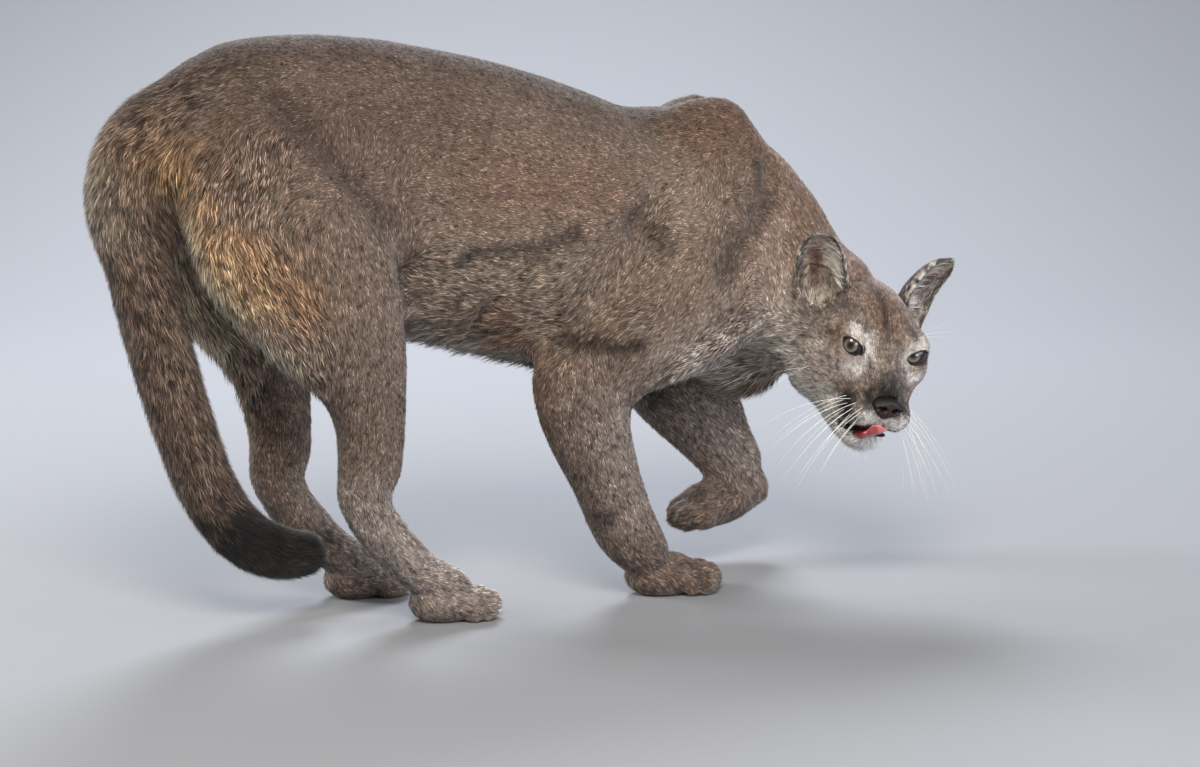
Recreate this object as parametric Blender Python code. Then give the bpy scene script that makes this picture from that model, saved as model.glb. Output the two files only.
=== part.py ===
"""A still, life-size cougar, as a museum shows one.

The cat walks slowly, hindquarters high and shoulders low, with its head turned to its
right and down, its tongue on its lip and its left forefoot lifted.  +X is the way the
body points, +Y is its left side, +Z is up, and the feet stand on z = 0.
Lengths are in metres.
"""
import math

import bmesh
import bpy
import numpy as np
from mathutils import Matrix, Vector

# ---------------------------------------------------------------- driving sizes
RUMP_TOP = 0.682            # height of the croup
LOIN_WIDTH = 0.252          # across the barrel at its widest
HEAD_AT = Vector((0.268, -0.212, 0.298))    # half way between the eyeballs' centres
HEAD_TURN = math.radians(-94.7)             # to the cat's right
HEAD_NOD = math.radians(20.8)               # nose down
HEAD_LEAN = math.radians(-13.9)             # left ear low
EYE_RADIUS = 0.0175
EYE_OUT = 0.0435            # from the middle plane to an eyeball's centre
EYE_BACK = -0.0032          # its centre lies a little behind the head's own origin
EYE_LONG = 0.0180           # half the length of the opening between the lids
EYE_OPEN = 0.0086           # half its height
EYE_SLANT = 20.0            # degrees, outer corner up
EAR_HALF_WIDTH = 0.033
GAP = 0.0003                # between nodes that touch
BODY_VOXEL = 0.008          # grid on which trunk and legs are fused
FINE_VOXEL = 0.0032         # grid of the head, the feet and the whole skin
DENSE_HEAD = 0.02000        # how much finer the head is than the rest
FLESH_TRIANGLES = 7800      # of the whole skin before it is cut into nodes

# colour and roughness of each kind of node
LOOKS = {
    "ear": ((0.150, 0.105, 0.078), 0.88),
    "eye": ((0.190, 0.120, 0.045), 0.12),
    "nose": ((0.055, 0.038, 0.033), 0.45),
    "tongue": ((0.480, 0.150, 0.150), 0.38),
    "head": ((0.250, 0.185, 0.130), 0.85),
    "neck": ((0.265, 0.170, 0.105), 0.86),
    "chest": ((0.255, 0.170, 0.108), 0.86),
    "hindquarters": ((0.245, 0.160, 0.100), 0.86),
    "tail": ((0.225, 0.148, 0.096), 0.87),
    "shank": ((0.285, 0.195, 0.125), 0.86),
    "hind_foot": ((0.230, 0.165, 0.118), 0.85),
    "foreleg": ((0.275, 0.190, 0.122), 0.86),
    "forefoot": ((0.225, 0.165, 0.120), 0.85),
}
TAIL_TIP_LOOK = ((0.045, 0.034, 0.028), 0.88)


# ---------------------------------------------------------------- small tools
def clear_scene():
    for old in list(bpy.data.objects):
        bpy.data.objects.remove(old, do_unlink=True)


def mesh_object(name, bm):
    """Make an object of a bmesh, with its faces turned outwards."""
    bmesh.ops.recalc_face_normals(bm, faces=bm.faces)
    if bm.calc_volume(signed=True) < 0:
        bmesh.ops.reverse_faces(bm, faces=bm.faces)
    mesh = bpy.data.meshes.new(name)
    bm.to_mesh(mesh)
    bm.free()
    made = bpy.data.objects.new(name, mesh)
    bpy.context.scene.collection.objects.link(made)
    return made


def bake(target):
    """Replace an object's mesh by what its modifiers make of it."""
    graph = bpy.context.evaluated_depsgraph_get()
    graph.update()
    mesh = bpy.data.meshes.new_from_object(target.evaluated_get(graph))
    target.modifiers.clear()
    target.data = mesh
    return target


def drop(*pieces):
    for piece in pieces:
        bpy.data.objects.remove(piece, do_unlink=True)


def spline(stations, count):
    """A smooth run of numbers through the stations, evenly spaced along their path."""
    rows = np.array(stations, float)
    rows = np.vstack([2 * rows[0] - rows[1], rows, 2 * rows[-1] - rows[-2]])
    steps = np.linalg.norm(np.diff(rows[1:-1, :3], axis=0), axis=1)
    along = np.concatenate([[0.0], np.cumsum(steps)])
    out = []
    for s in np.linspace(0.0, along[-1], count):
        k = min(int(np.searchsorted(along, s, side="right")) - 1, len(steps) - 1)
        t = (s - along[k]) / steps[k]
        a, b, c, d = rows[k], rows[k + 1], rows[k + 2], rows[k + 3]
        out.append(0.5 * (2 * b + (c - a) * t + (2 * a - 5 * b + 4 * c - d) * t * t
                          + (3 * b - a - 3 * c + d) * t ** 3))
    return np.array(out)


def loft(name, stations, side=(0, 1, 0), rings=22, sides=22, egg=0.0, dome=0.55):
    """A closed tube through stations of (x, y, z, half width, half height).

    The half width lies along `side`, `egg` narrows the upper half of each ring, and
    both ends are rounded off over `dome` times their half height.
    """
    data = spline(stations, rings)
    tangents = np.gradient(data[:, :3], axis=0)
    tangents /= np.linalg.norm(tangents, axis=1)[:, None]
    dome_steps = 3
    hoops = []
    for step in range(dome_steps, 0, -1):
        hoops.append((0, -math.sin(step / (dome_steps + 0.4) * math.pi / 2),
                      math.cos(step / (dome_steps + 0.4) * math.pi / 2)))
    hoops += [(i, 0.0, 1.0) for i in range(rings)]
    for step in range(1, dome_steps + 1):
        hoops.append((rings - 1, math.sin(step / (dome_steps + 0.4) * math.pi / 2),
                      math.cos(step / (dome_steps + 0.4) * math.pi / 2)))
    bm = bmesh.new()
    loops = []
    last_up = Vector((0, 0, 1))
    for index, push, scale in hoops:
        x, y, z, wide, high = data[index]
        ahead = Vector(tangents[index])
        across = (Vector(side) - ahead * ahead.dot(Vector(side))).normalized()
        up = ahead.cross(across)
        if up.dot(last_up) < 0:
            up.negate()
        last_up = up
        middle = Vector((x, y, z)) + ahead * push * high * dome
        loop = []
        for k in range(sides):
            angle = 2 * math.pi * k / sides
            lean = 1.0 - egg * math.sin(angle)
            loop.append(bm.verts.new(middle + across * wide * scale * lean * math.cos(angle)
                                     + up * high * scale * math.sin(angle)))
        loops.append(loop)
    for one, two in zip(loops, loops[1:]):
        for k in range(sides):
            m = (k + 1) % sides
            bm.faces.new((one[k], one[m], two[m], two[k]))
    bm.faces.new(loops[0])
    bm.faces.new(loops[-1])
    return mesh_object(name, bm)


def ball(name, centre, radii, turn=(0, 0, 0), detail=3):
    """An ellipsoid turned by degrees about X, Y and Z."""
    bm = bmesh.new()
    bmesh.ops.create_icosphere(bm, subdivisions=detail, radius=1.0)
    spin = Matrix.Rotation(math.radians(turn[2]), 4, "Z")
    spin @= Matrix.Rotation(math.radians(turn[1]), 4, "Y")
    spin @= Matrix.Rotation(math.radians(turn[0]), 4, "X")
    bm.transform(Matrix.Translation(centre) @ spin @ Matrix.Diagonal((*radii, 1.0)))
    return mesh_object(name, bm)


def merged(name, pieces):
    """Gather pieces, which may overlap, in one object."""
    bm = bmesh.new()
    for piece in pieces:
        part = piece.data.copy()
        part.transform(piece.matrix_world)
        bm.from_mesh(part)
        bpy.data.meshes.remove(part)
    mesh = bpy.data.meshes.new(name)
    bm.to_mesh(mesh)
    bm.free()
    drop(*pieces)
    made = bpy.data.objects.new(name, mesh)
    bpy.context.scene.collection.objects.link(made)
    return made


def clay(name, pieces, voxel, passes):
    """Fuse pieces into one skin and melt the creases between them."""
    made = merged(name, pieces)
    remesh = made.modifiers.new("skin", "REMESH")
    remesh.mode = "VOXEL"
    remesh.voxel_size = voxel
    melt = made.modifiers.new("melt", "SMOOTH")
    melt.factor = 0.5
    melt.iterations = passes
    return bake(made)


def boolean(target, tool, operation="DIFFERENCE"):
    cut = target.modifiers.new("cut", "BOOLEAN")
    cut.operation = operation
    cut.solver = "EXACT"
    cut.object = tool
    return bake(target)


def swollen(piece, by):
    """A copy of a piece with its surface moved outwards."""
    bm = bmesh.new()
    bm.from_mesh(piece.data)
    bm.normal_update()
    moves = [v.normal * by * max(1.0, v.calc_shell_factor()) for v in bm.verts]
    for vert, move in zip(bm.verts, moves):
        vert.co += move
    return mesh_object(piece.name + "_room", bm)


def seat(target, guest):
    """Cut a guest's place out of a target, with the gap between nodes."""
    room = swollen(guest, GAP)
    boolean(target, room)
    drop(room)


def shells(piece):
    """Split a mesh into its closed surfaces, as vertex index lists."""
    bm = bmesh.new()
    bm.from_mesh(piece.data)
    bm.verts.ensure_lookup_table()
    seen = set()
    found = []
    for start in bm.verts:
        if start.index in seen:
            continue
        seen.add(start.index)
        stack = [start]
        group = []
        while stack:
            vert = stack.pop()
            group.append(vert.index)
            for edge in vert.link_edges:
                other = edge.other_vert(vert)
                if other.index not in seen:
                    seen.add(other.index)
                    stack.append(other)
        found.append(group)
    bm.free()
    return sorted(found, key=len, reverse=True)


def keep_only(piece, group):
    """Leave one group of vertices, and what they carry, in a mesh."""
    bm = bmesh.new()
    bm.from_mesh(piece.data)
    bm.verts.ensure_lookup_table()
    wanted = set(group)
    bmesh.ops.delete(bm, geom=[v for v in bm.verts if v.index not in wanted], context="VERTS")
    bm.to_mesh(piece.data)
    bm.free()


def look_of(name):
    if name == "tail_tip":
        return TAIL_TIP_LOOK
    kind = max((k for k in LOOKS if name.startswith(k)), key=len)
    return LOOKS[kind]


def finish(name, piece):
    """Give a node its name, its own material and its smooth shading."""
    colour, roughness = look_of(name)
    keep_only(piece, shells(piece)[0])
    bm = bmesh.new()
    bm.from_mesh(piece.data)
    bmesh.ops.triangulate(bm, faces=bm.faces)
    bm.to_mesh(piece.data)
    bm.free()
    material = bpy.data.materials.new(name)
    material.use_nodes = True
    shader = material.node_tree.nodes["Principled BSDF"]
    shader.inputs["Base Color"].default_value = (*colour, 1.0)
    shader.inputs["Roughness"].default_value = roughness
    shader.inputs["Metallic"].default_value = 0.0
    piece.data.materials.clear()
    piece.data.materials.append(material)
    piece.data.shade_smooth()
    piece.data.set_sharp_from_angle(angle=math.radians(50))
    piece.name = name
    piece.data.name = name


# ---------------------------------------------------------------- trunk and neck
def trunk_pieces():
    """Barrel, croup and neck, from the tail's root forwards."""
    # along the back, depth of the top line below the croup, belly's height, share of width
    top_and_bottom = [
        (-0.575, 0.072, 0.500, 0.48),
        (-0.545, 0.038, 0.470, 0.64),
        (-0.500, 0.005, 0.428, 0.81),
        (-0.430, -0.004, 0.390, 0.90),
        (-0.350, 0.000, 0.352, 0.94),
        (-0.270, 0.015, 0.326, 0.95),
        (-0.180, 0.035, 0.305, 0.98),
        (-0.090, 0.064, 0.280, 1.00),
        (0.000, 0.097, 0.256, 0.95),
        (0.080, 0.100, 0.248, 0.86),
        (0.150, 0.114, 0.252, 0.71),
    ]
    barrel = []
    for x, drop_from_croup, low, share in top_and_bottom:
        top = RUMP_TOP - drop_from_croup
        barrel.append((x, 0.0, (top + low) / 2, share * LOIN_WIDTH / 2, (top - low) / 2))
    yield loft("barrel", barrel, rings=30, sides=28, egg=0.12)
    neck = [
        (0.080, 0.000, 0.420, 0.100, 0.130),
        (0.140, -0.012, 0.416, 0.100, 0.142),
        (0.186, -0.040, 0.388, 0.094, 0.119),
        (0.224, -0.078, 0.350, 0.083, 0.091),
        (0.256, -0.112, 0.325, 0.078, 0.082),
    ]
    yield loft("nape", neck, side=(0.45, 1, 0))
    yield ball("throat", (0.200, -0.045, 0.310), (0.060, 0.055, 0.068), (0, 25, -35))
    yield ball("brisket", (0.188, -0.012, 0.288), (0.066, 0.060, 0.074))
    for side in (-1, 1):
        yield ball("shoulder_front", (0.140, side * 0.062, 0.430), (0.062, 0.055, 0.100))
        yield ball("rib_fill", (0.020, side * 0.070, 0.420), (0.120, 0.056, 0.110))
        yield ball("flank", (-0.300, side * 0.062, 0.425), (0.090, 0.052, 0.080))


def hind_leg(side, knee_out, foot, hock_x):
    """Thigh, shank and hind foot, for side = -1 (right) or 1 (left)."""
    shift = hock_x + 0.352
    rows = [
        (-0.485, side * 0.060, 0.585, 0.050, 0.085),
        (-0.455, side * 0.082, 0.510, 0.060, 0.118),
        (-0.425 + shift * 0.2, side * 0.095, 0.440, 0.060, 0.124),
        (-0.398 + shift * 0.5, side * knee_out, 0.375, 0.052, 0.098),
        (-0.366 + shift * 0.8, side * (knee_out - 0.002), 0.312, 0.042, 0.068),
        (-0.350 + shift, side * (knee_out - 0.007), 0.262, 0.036, 0.050),
        (-0.345 + shift, side * (knee_out - 0.012), 0.214, 0.032, 0.044),
        (-0.346 + shift, side * (knee_out - 0.016), 0.174, 0.030, 0.043),
    ]
    yield loft("thigh", rows, rings=26)
    heel = (-0.368 + shift, side * (knee_out - 0.016), 0.166, 0.025, 0.028)
    ankle = (-0.338 + shift, side * (knee_out - 0.018), 0.122, 0.030, 0.033)
    ball_of_foot = (foot[0] - 0.046, foot[1] - side * 0.002, 0.058, 0.033, 0.029)
    toes = (foot[0] + 0.005, foot[1], 0.036, 0.036, 0.024)
    yield loft("hind_foot", [heel, ankle, ball_of_foot, toes], rings=14)


def right_fore_leg():
    """The leg that carries the weight: elbow back, forearm slanting to the foot."""
    upper = [
        (0.112, -0.048, 0.562, 0.028, 0.066),
        (0.126, -0.082, 0.478, 0.036, 0.082),
        (0.118, -0.104, 0.395, 0.046, 0.088),
        (0.050, -0.112, 0.345, 0.050, 0.080),
        (-0.030, -0.106, 0.305, 0.046, 0.066),
        (-0.075, -0.098, 0.268, 0.040, 0.055),
    ]
    lower = [
        (-0.092, -0.098, 0.290, 0.041, 0.054),
        (-0.078, -0.096, 0.250, 0.045, 0.060),
        (-0.061, -0.092, 0.200, 0.042, 0.054),
        (-0.040, -0.087, 0.154, 0.037, 0.047),
        (-0.022, -0.082, 0.112, 0.035, 0.045),
        (0.000, -0.078, 0.074, 0.036, 0.042),
        (0.026, -0.076, 0.046, 0.038, 0.032),
    ]
    yield loft("upper_arm", upper, rings=18)
    yield loft("forearm", lower, rings=20)


def left_fore_leg():
    """The lifted leg: elbow bent, forearm slanting forwards, wrist folded."""
    upper = [
        (0.135, 0.048, 0.556, 0.028, 0.062),
        (0.165, 0.082, 0.472, 0.036, 0.076),
        (0.182, 0.100, 0.395, 0.044, 0.078),
        (0.160, 0.104, 0.330, 0.046, 0.086),
        (0.125, 0.098, 0.275, 0.042, 0.074),
    ]
    lower = [
        (0.118, 0.096, 0.285, 0.040, 0.068),
        (0.152, 0.092, 0.237, 0.042, 0.074),
        (0.187, 0.086, 0.187, 0.039, 0.063),
        (0.215, 0.080, 0.142, 0.035, 0.048),
        (0.240, 0.075, 0.110, 0.034, 0.040),
    ]
    yield loft("upper_arm", upper, rings=18)
    yield loft("forearm", lower, rings=20)


def paw(foot, heading, half_width, length, high):
    """Four round toes spread before a broad pad, standing on the floor."""
    along = Vector((math.cos(heading), math.sin(heading), 0))
    left = Vector((-along.y, along.x, 0))
    turn = (0, 0, math.degrees(heading))
    centre = Vector(foot)
    yield ball("pad", centre + Vector((0, 0, high * 0.46)) - along * length * 0.10,
               (length * 0.42, half_width * 0.86, high * 0.52), turn)
    for spread, ahead in ((-0.72, 0.20), (-0.26, 0.33), (0.26, 0.33), (0.72, 0.20)):
        at = centre + left * spread * half_width + along * length * ahead
        yield ball("toe", at + Vector((0, 0, high * 0.34)),
                   (length * 0.21, half_width * 0.30, high * 0.40), turn)


def lifted_paw():
    """The left forefoot, folded back at the wrist with its toes hanging."""
    wrist = Vector((0.250, 0.074, 0.098))
    tips = Vector((0.146, 0.066, 0.062))
    along = (tips - wrist).normalized()
    rows = [
        (wrist.x, wrist.y, wrist.z, 0.034, 0.036),
        (0.215, 0.071, 0.078, 0.037, 0.032),
        (0.180, 0.068, 0.070, 0.041, 0.029),
    ]
    yield loft("folded_foot", rows, rings=10)
    left = Vector((0, 1, 0))
    heading = math.degrees(math.atan2(along.z, -along.x))
    for spread, ahead in ((-0.72, 0.0), (-0.26, 0.012), (0.26, 0.012), (0.72, 0.0)):
        at = tips + left * spread * 0.042 + along * ahead + Vector((0.022, 0, 0.002))
        yield ball("toe", at, (0.024, 0.0135, 0.019), (0, heading, 0))


TAIL = [
    (-0.530, 0.000, 0.592, 0.052, 0.052),
    (-0.575, 0.000, 0.569, 0.051, 0.051),
    (-0.600, 0.000, 0.530, 0.048, 0.049),
    (-0.606, 0.000, 0.484, 0.043, 0.046),
    (-0.588, 0.000, 0.430, 0.041, 0.043),
    (-0.572, 0.000, 0.360, 0.040, 0.042),
    (-0.553, 0.000, 0.290, 0.039, 0.041),
    (-0.531, 0.000, 0.220, 0.038, 0.040),
    (-0.510, 0.000, 0.165, 0.037, 0.039),
    (-0.475, 0.000, 0.112, 0.036, 0.038),
    (-0.425, 0.002, 0.080, 0.035, 0.036),
    (-0.375, 0.004, 0.076, 0.029, 0.030),
]


# ---------------------------------------------------------------- head
def head_matrix():
    turn = Matrix.Rotation(HEAD_TURN, 4, "Z") @ Matrix.Rotation(HEAD_NOD, 4, "Y")
    return Matrix.Translation(HEAD_AT) @ turn @ Matrix.Rotation(HEAD_LEAN, 4, "X")


def head_clay():
    """The skull's flesh.  Here +X is forwards, +Y left and +Z up, from the eyes."""
    yield ball("cranium", (-0.068, 0, -0.002), (0.076, 0.068, 0.058))
    yield ball("forehead", (-0.036, 0, 0.002), (0.052, 0.078, 0.035))
    yield ball("face", (-0.036, 0, -0.040), (0.060, 0.082, 0.054))
    yield ball("snout_root", (0.008, 0, -0.042), (0.034, 0.056, 0.034))
    yield ball("muzzle", (0.026, 0, -0.066), (0.032, 0.042, 0.028))
    bridge = [
        (-0.012, 0, -0.010, 0.028, 0.030),
        (0.014, 0, -0.024, 0.024, 0.029),
        (0.034, 0, -0.043, 0.021, 0.024),
        (0.048, 0, -0.056, 0.019, 0.019),
    ]
    yield loft("bridge", bridge, rings=12, sides=20)
    jaw = [
        (-0.070, 0, -0.070, 0.050, 0.036),
        (-0.015, 0, -0.087, 0.042, 0.030),
        (0.018, 0, -0.099, 0.035, 0.021),
        (0.037, 0, -0.103, 0.027, 0.0180),
    ]
    yield loft("jaw", jaw, rings=14, sides=20)
    for side in (-1, 1):
        yield ball("jaw_muscle", (-0.052, side * 0.040, -0.058), (0.050, 0.038, 0.042))
        yield ball("cheekbone", (-0.006, side * 0.044, -0.018), (0.028, 0.028, 0.026))
        yield ball("orbit", (-0.013, side * 0.042, 0.004), (0.026, 0.028, 0.026))
        yield ball("whisker_pad", (0.034, side * 0.0235, -0.064),
                   (0.0275, 0.0250, 0.0230), (0, 12, 0))
        yield ball("lip", (0.012, side * 0.0300, -0.078), (0.034, 0.0165, 0.0150),
                   (0, -14, side * -14))


def head_details():
    """What stays crisp on the head: brows and the mounds of the lids."""
    for side in (-1, 1):
        yield ball("brow", (-0.004, side * 0.036, 0.0125), (0.015, 0.022, 0.0085),
                   (side * 16, 0, 0))
        yield ball("lids", eye_centre(side), (EYE_RADIUS + 0.0030,) * 3)


def placed(piece):
    """Carry a piece modelled on the head's own axes to its place."""
    piece.data.transform(head_matrix())
    return piece


def eye_centre(side):
    return Vector((EYE_BACK, side * EYE_OUT, 0.0))


def eye_axis(side):
    """Where an eye looks, on the head's axes: forwards and a little outwards."""
    return Vector((1.0, side * 0.30, 0.02)).normalized()


def lid_opening(side):
    """An almond prism that opens the lids, its inner corner the lower one."""
    axis = eye_axis(side)
    across = Vector((0, side, 0))
    across = (across - axis * across.dot(axis)).normalized()
    up = Vector((0, 0, 1)) - axis * axis.z
    up = (up - across * up.dot(across)).normalized()
    slant = math.radians(EYE_SLANT)
    long_way = across * math.cos(slant) + up * math.sin(slant)
    short_way = up * math.cos(slant) - across * math.sin(slant)
    centre = eye_centre(side)
    steps = 9
    outline = []
    for sign, start in ((1, 0), (-1, 1)):
        for k in range(start, steps + 1 - start):
            x = math.cos(math.pi * k / steps) * sign
            bow = max(0.0, 1 - x * x) ** 0.75
            lid = EYE_OPEN * (1.06 if sign > 0 else 0.94)
            outline.append((x * EYE_LONG, sign * bow * lid))
    bm = bmesh.new()
    rings = []
    for depth, scale in ((0.002, 0.94), (0.012, 1.0), (0.036, 1.22)):
        rings.append([bm.verts.new(centre + axis * depth + long_way * x * scale
                                   + short_way * y * scale) for x, y in outline])
    for one, two in zip(rings, rings[1:]):
        for k in range(len(one)):
            m = (k + 1) % len(one)
            bm.faces.new((one[k], one[m], two[m], two[k]))
    bm.faces.new(rings[0])
    bm.faces.new(rings[-1])
    return mesh_object("lid_opening", bm)


def ear_axes(side):
    """An ear's root, its length, and its axes: to the tip, out of the cup, across it."""
    root = Vector((-0.062, side * 0.064, 0.014))
    tip = Vector((-0.078, side * 0.096, 0.100))
    along = (tip - root).normalized()
    opening = Vector((0.90, side * 0.42, 0.0))
    opening = (opening - along * opening.dot(along)).normalized()
    return root, (tip - root).length, along, opening, along.cross(opening)


def ear_hollow(side):
    """The room in front of a cup, which reaches down to the ear's root."""
    root, length, along, opening, across = ear_axes(side)
    room = ball("ear_hollow", (0, 0, 0), (0.030, 0.016, EAR_HALF_WIDTH * 0.80))
    frame = Matrix((along, opening, across)).transposed().to_4x4()
    room.data.transform(Matrix.Translation(root + along * 0.048 + opening * 0.004) @ frame)
    return room


def ear(side):
    """A round-tipped cup: a C-shaped section carried from the root to the tip."""
    root, length, along, opening, across = ear_axes(side)
    arc, rings = 9, 11
    bm = bmesh.new()
    loops = []
    for i in range(rings):
        t = i / (rings - 1)
        wide = EAR_HALF_WIDTH * (0.90 + 0.10 * math.sin(math.pi * min(1.0, t / 0.55)))
        if t > 0.56:
            wide *= math.sqrt(max(0.004, 1 - ((t - 0.56) / 0.445) ** 2))
        deep = 0.024 * (wide / EAR_HALF_WIDTH) ** 0.8 * (1 - 0.50 * t)
        wall = 0.0046 - 0.0022 * t
        wall = min(wall, wide * 0.4)
        hollow = min(1.0, max(0.0, (t - 0.14) / 0.26))
        hollow = hollow * hollow * (3 - 2 * hollow)
        middle = root + along * length * t - opening * 0.010 * math.sin(math.pi * t)
        loop = []
        for k in range(arc):
            angle = math.pi * (k / (arc - 1) - 0.5) * 1.08
            loop.append(bm.verts.new(middle - opening * deep * math.cos(angle)
                                     + across * wide * math.sin(angle)))
        for k in range(arc - 1, -1, -1):
            angle = math.pi * (k / (arc - 1) - 0.5) * 1.08
            inner = (deep - wall) * hollow * math.cos(angle)
            loop.append(bm.verts.new(middle - opening * inner + opening * 0.003
                                     + across * (wide - wall) * math.sin(angle)))
        loops.append(loop)
    count = len(loops[0])
    for one, two in zip(loops, loops[1:]):
        for k in range(count):
            m = (k + 1) % count
            bm.faces.new((one[k], one[m], two[m], two[k]))
    bm.faces.new(loops[0])
    bm.faces.new(loops[-1])
    bmesh.ops.triangulate(bm, faces=bm.faces)
    return mesh_object("ear_clay", bm)


def tongue():
    """A flat tongue curling up over the upper lip, turned to the cat's right."""
    rows = [
        (-0.014, -0.002, -0.0965, 0.013, 0.0050),
        (0.026, -0.004, -0.0895, 0.0165, 0.0045),
        (0.048, -0.006, -0.0855, 0.0180, 0.0042),
        (0.0590, -0.0070, -0.0820, 0.0185, 0.0042),
        (0.0630, -0.0085, -0.0765, 0.0165, 0.0038),
        (0.0638, -0.0095, -0.0722, 0.0125, 0.0030),
        (0.0636, -0.0100, -0.0698, 0.0065, 0.0022),
    ]
    return loft("tongue_clay", rows, side=(0.16, 0.77, 0.62), rings=11, sides=12, dome=0.9)


def mouth_cut():
    """A flat lens that parts the lips, wider in front than at the corners."""
    return ball("mouth_cut", (0.035, -0.001, -0.0885), (0.040, 0.038, 0.0042), (0, -19, 0), 3)


def nose_pad():
    """The leather of the nose: broad above, narrow below."""
    bm = bmesh.new()
    bmesh.ops.create_icosphere(bm, subdivisions=3, radius=1.0)
    for vert in bm.verts:
        x, y, z = vert.co
        y *= 0.74 + 0.32 * min(1.0, max(-1.0, z + 0.25))
        vert.co = (0.0530 + 0.0130 * x, 0.0205 * y, -0.0485 + 0.0145 * z)
    nose = mesh_object("nose_clay", bm)
    for side in (-1, 1):
        hole = ball("nostril", (0.0640, side * 0.0105, -0.0500), (0.0080, 0.0052, 0.0034),
                    (side * -24, 0, side * 28), 2)
        boolean(nose, hole)
        drop(hole)
    return nose


def box(name, low, high, turn_y=0.0):
    """A box between two corners, turned about its middle by degrees about Y."""
    low, high = Vector(low), Vector(high)
    bm = bmesh.new()
    bmesh.ops.create_cube(bm, size=1.0)
    size = Matrix.Diagonal((*(high - low), 1.0))
    spin = Matrix.Rotation(math.radians(turn_y), 4, "Y")
    bm.transform(Matrix.Translation((low + high) / 2) @ spin @ size)
    return mesh_object(name, bm)


def disc(name, centre, normal, radius):
    """A round thin cut, as thick as the gap between nodes."""
    bm = bmesh.new()
    bmesh.ops.create_cone(bm, cap_ends=True, segments=32, radius1=radius, radius2=radius,
                          depth=GAP)
    aim = Vector((0, 0, 1)).rotation_difference(Vector(normal).normalized())
    bm.transform(Matrix.Translation(centre) @ aim.to_matrix().to_4x4())
    return mesh_object(name, bm)


def thin_cuts():
    """Where the flesh is parted into nodes."""
    half = GAP / 2
    yield disc("head_neck", (0.2654, -0.114, 0.3375), (0.279, -0.865, -0.411), 0.125)
    yield disc("neck_chest", (0.192, -0.036, 0.405), (0.88, -0.46, 0.10), 0.222)
    yield disc("chest_loin", (-0.210, 0, 0.470), (1, 0, 0), 0.250)
    yield disc("tail_root", (-0.584, 0, 0.405), (-0.20, 0, 1), 0.062)
    yield disc("tail_one", (-0.554, 0, 0.292), (-0.25, 0, 1), 0.062)
    yield disc("tail_two", (-0.512, 0, 0.172), (-0.40, 0, 1), 0.062)
    for side, hock_x in ((-1, -0.350), (1, -0.386)):
        low_y, high_y = sorted((side * 0.044, side * 0.190))
        yield box("thigh_cut", (-0.565, low_y, 0.3465 - half), (-0.272, high_y, 0.3465 + half),
                  15)
        yield disc("hock_cut", (hock_x + 0.002, side * 0.088, 0.186), (0, 0, 1), 0.062)
    yield box("right_elbow", (-0.150, -0.160, 0.258 - half), (0.012, -0.030, 0.258 + half), 8)
    yield disc("right_wrist", (-0.008, -0.080, 0.088), (-0.35, 0, 1), 0.062)
    yield box("left_elbow", (0.050, 0.030, 0.236 - half), (0.262, 0.160, 0.236 + half))
    yield box("left_wrist", (0.110, 0.020, 0.104 - half), (0.305, 0.130, 0.104 + half))


def flesh():
    """The whole cat but ears, eyes, nose and tongue, as one skin."""
    rough = list(trunk_pieces())
    rough += list(hind_leg(-1, 0.104, (-0.234, -0.084, 0.0), -0.352))
    rough += list(hind_leg(1, 0.100, (-0.270, 0.082, 0.0), -0.388))
    rough += list(right_fore_leg())
    rough += list(left_fore_leg())
    rough.append(loft("tail", TAIL, rings=30, sides=20))
    body = clay("body", rough, BODY_VOXEL, 26)
    skull = clay("skull", list(head_clay()), FINE_VOXEL, 26)
    fine = [body, placed(merged("head_clay", [skull] + list(head_details())))]
    fine += list(paw((0.058, -0.074, -0.003), math.radians(-4), 0.045, 0.118, 0.056))
    fine += list(paw((-0.238, -0.084, -0.003), math.radians(-3), 0.041, 0.108, 0.054))
    fine += list(paw((-0.274, 0.082, -0.003), math.radians(3), 0.041, 0.108, 0.054))
    fine += list(lifted_paw())
    return clay("flesh", fine, FINE_VOXEL, 6)


def thinned(skin):
    """Keep few triangles on the body and more where the shape is fine."""
    centre = HEAD_AT - head_matrix().to_3x3() @ Vector((0.03, 0, 0.03))
    group = skin.vertex_groups.new(name="plain")
    for vert in skin.data.vertices:
        from_head = (vert.co - centre).length
        weight = min(1.0, max(0.0, (from_head - 0.105) / 0.06))
        if vert.co.z < 0.08:
            weight *= 0.6
        group.add([vert.index], 0.04 + 0.96 * weight, "REPLACE")
    thin = skin.modifiers.new("thin", "DECIMATE")
    thin.ratio = FLESH_TRIANGLES / (2.0 * len(skin.data.polygons))
    thin.vertex_group = group.name
    thin.vertex_group_factor = DENSE_HEAD
    return bake(skin)


# where the middle of each node's box lies, to tell the cut pieces apart
MIDDLES = {
    "head": (0.26, -0.16, 0.29),
    "neck": (0.23, -0.05, 0.40),
    "chest": (0.02, 0.00, 0.45),
    "hindquarters": (-0.43, 0.00, 0.49),
    "tail_root": (-0.57, 0.0, 0.35),
    "tail_middle": (-0.54, 0.0, 0.23),
    "tail_tip": (-0.45, 0.0, 0.12),
    "shank_right": (-0.41, -0.10, 0.28),
    "shank_left": (-0.43, 0.10, 0.28),
    "hind_foot_right": (-0.28, -0.085, 0.09),
    "hind_foot_left": (-0.32, 0.085, 0.09),
    "foreleg_right": (-0.05, -0.09, 0.17),
    "foreleg_left": (0.17, 0.09, 0.17),
    "forefoot_right": (0.04, -0.08, 0.05),
    "forefoot_left": (0.20, 0.07, 0.07),
}


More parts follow.
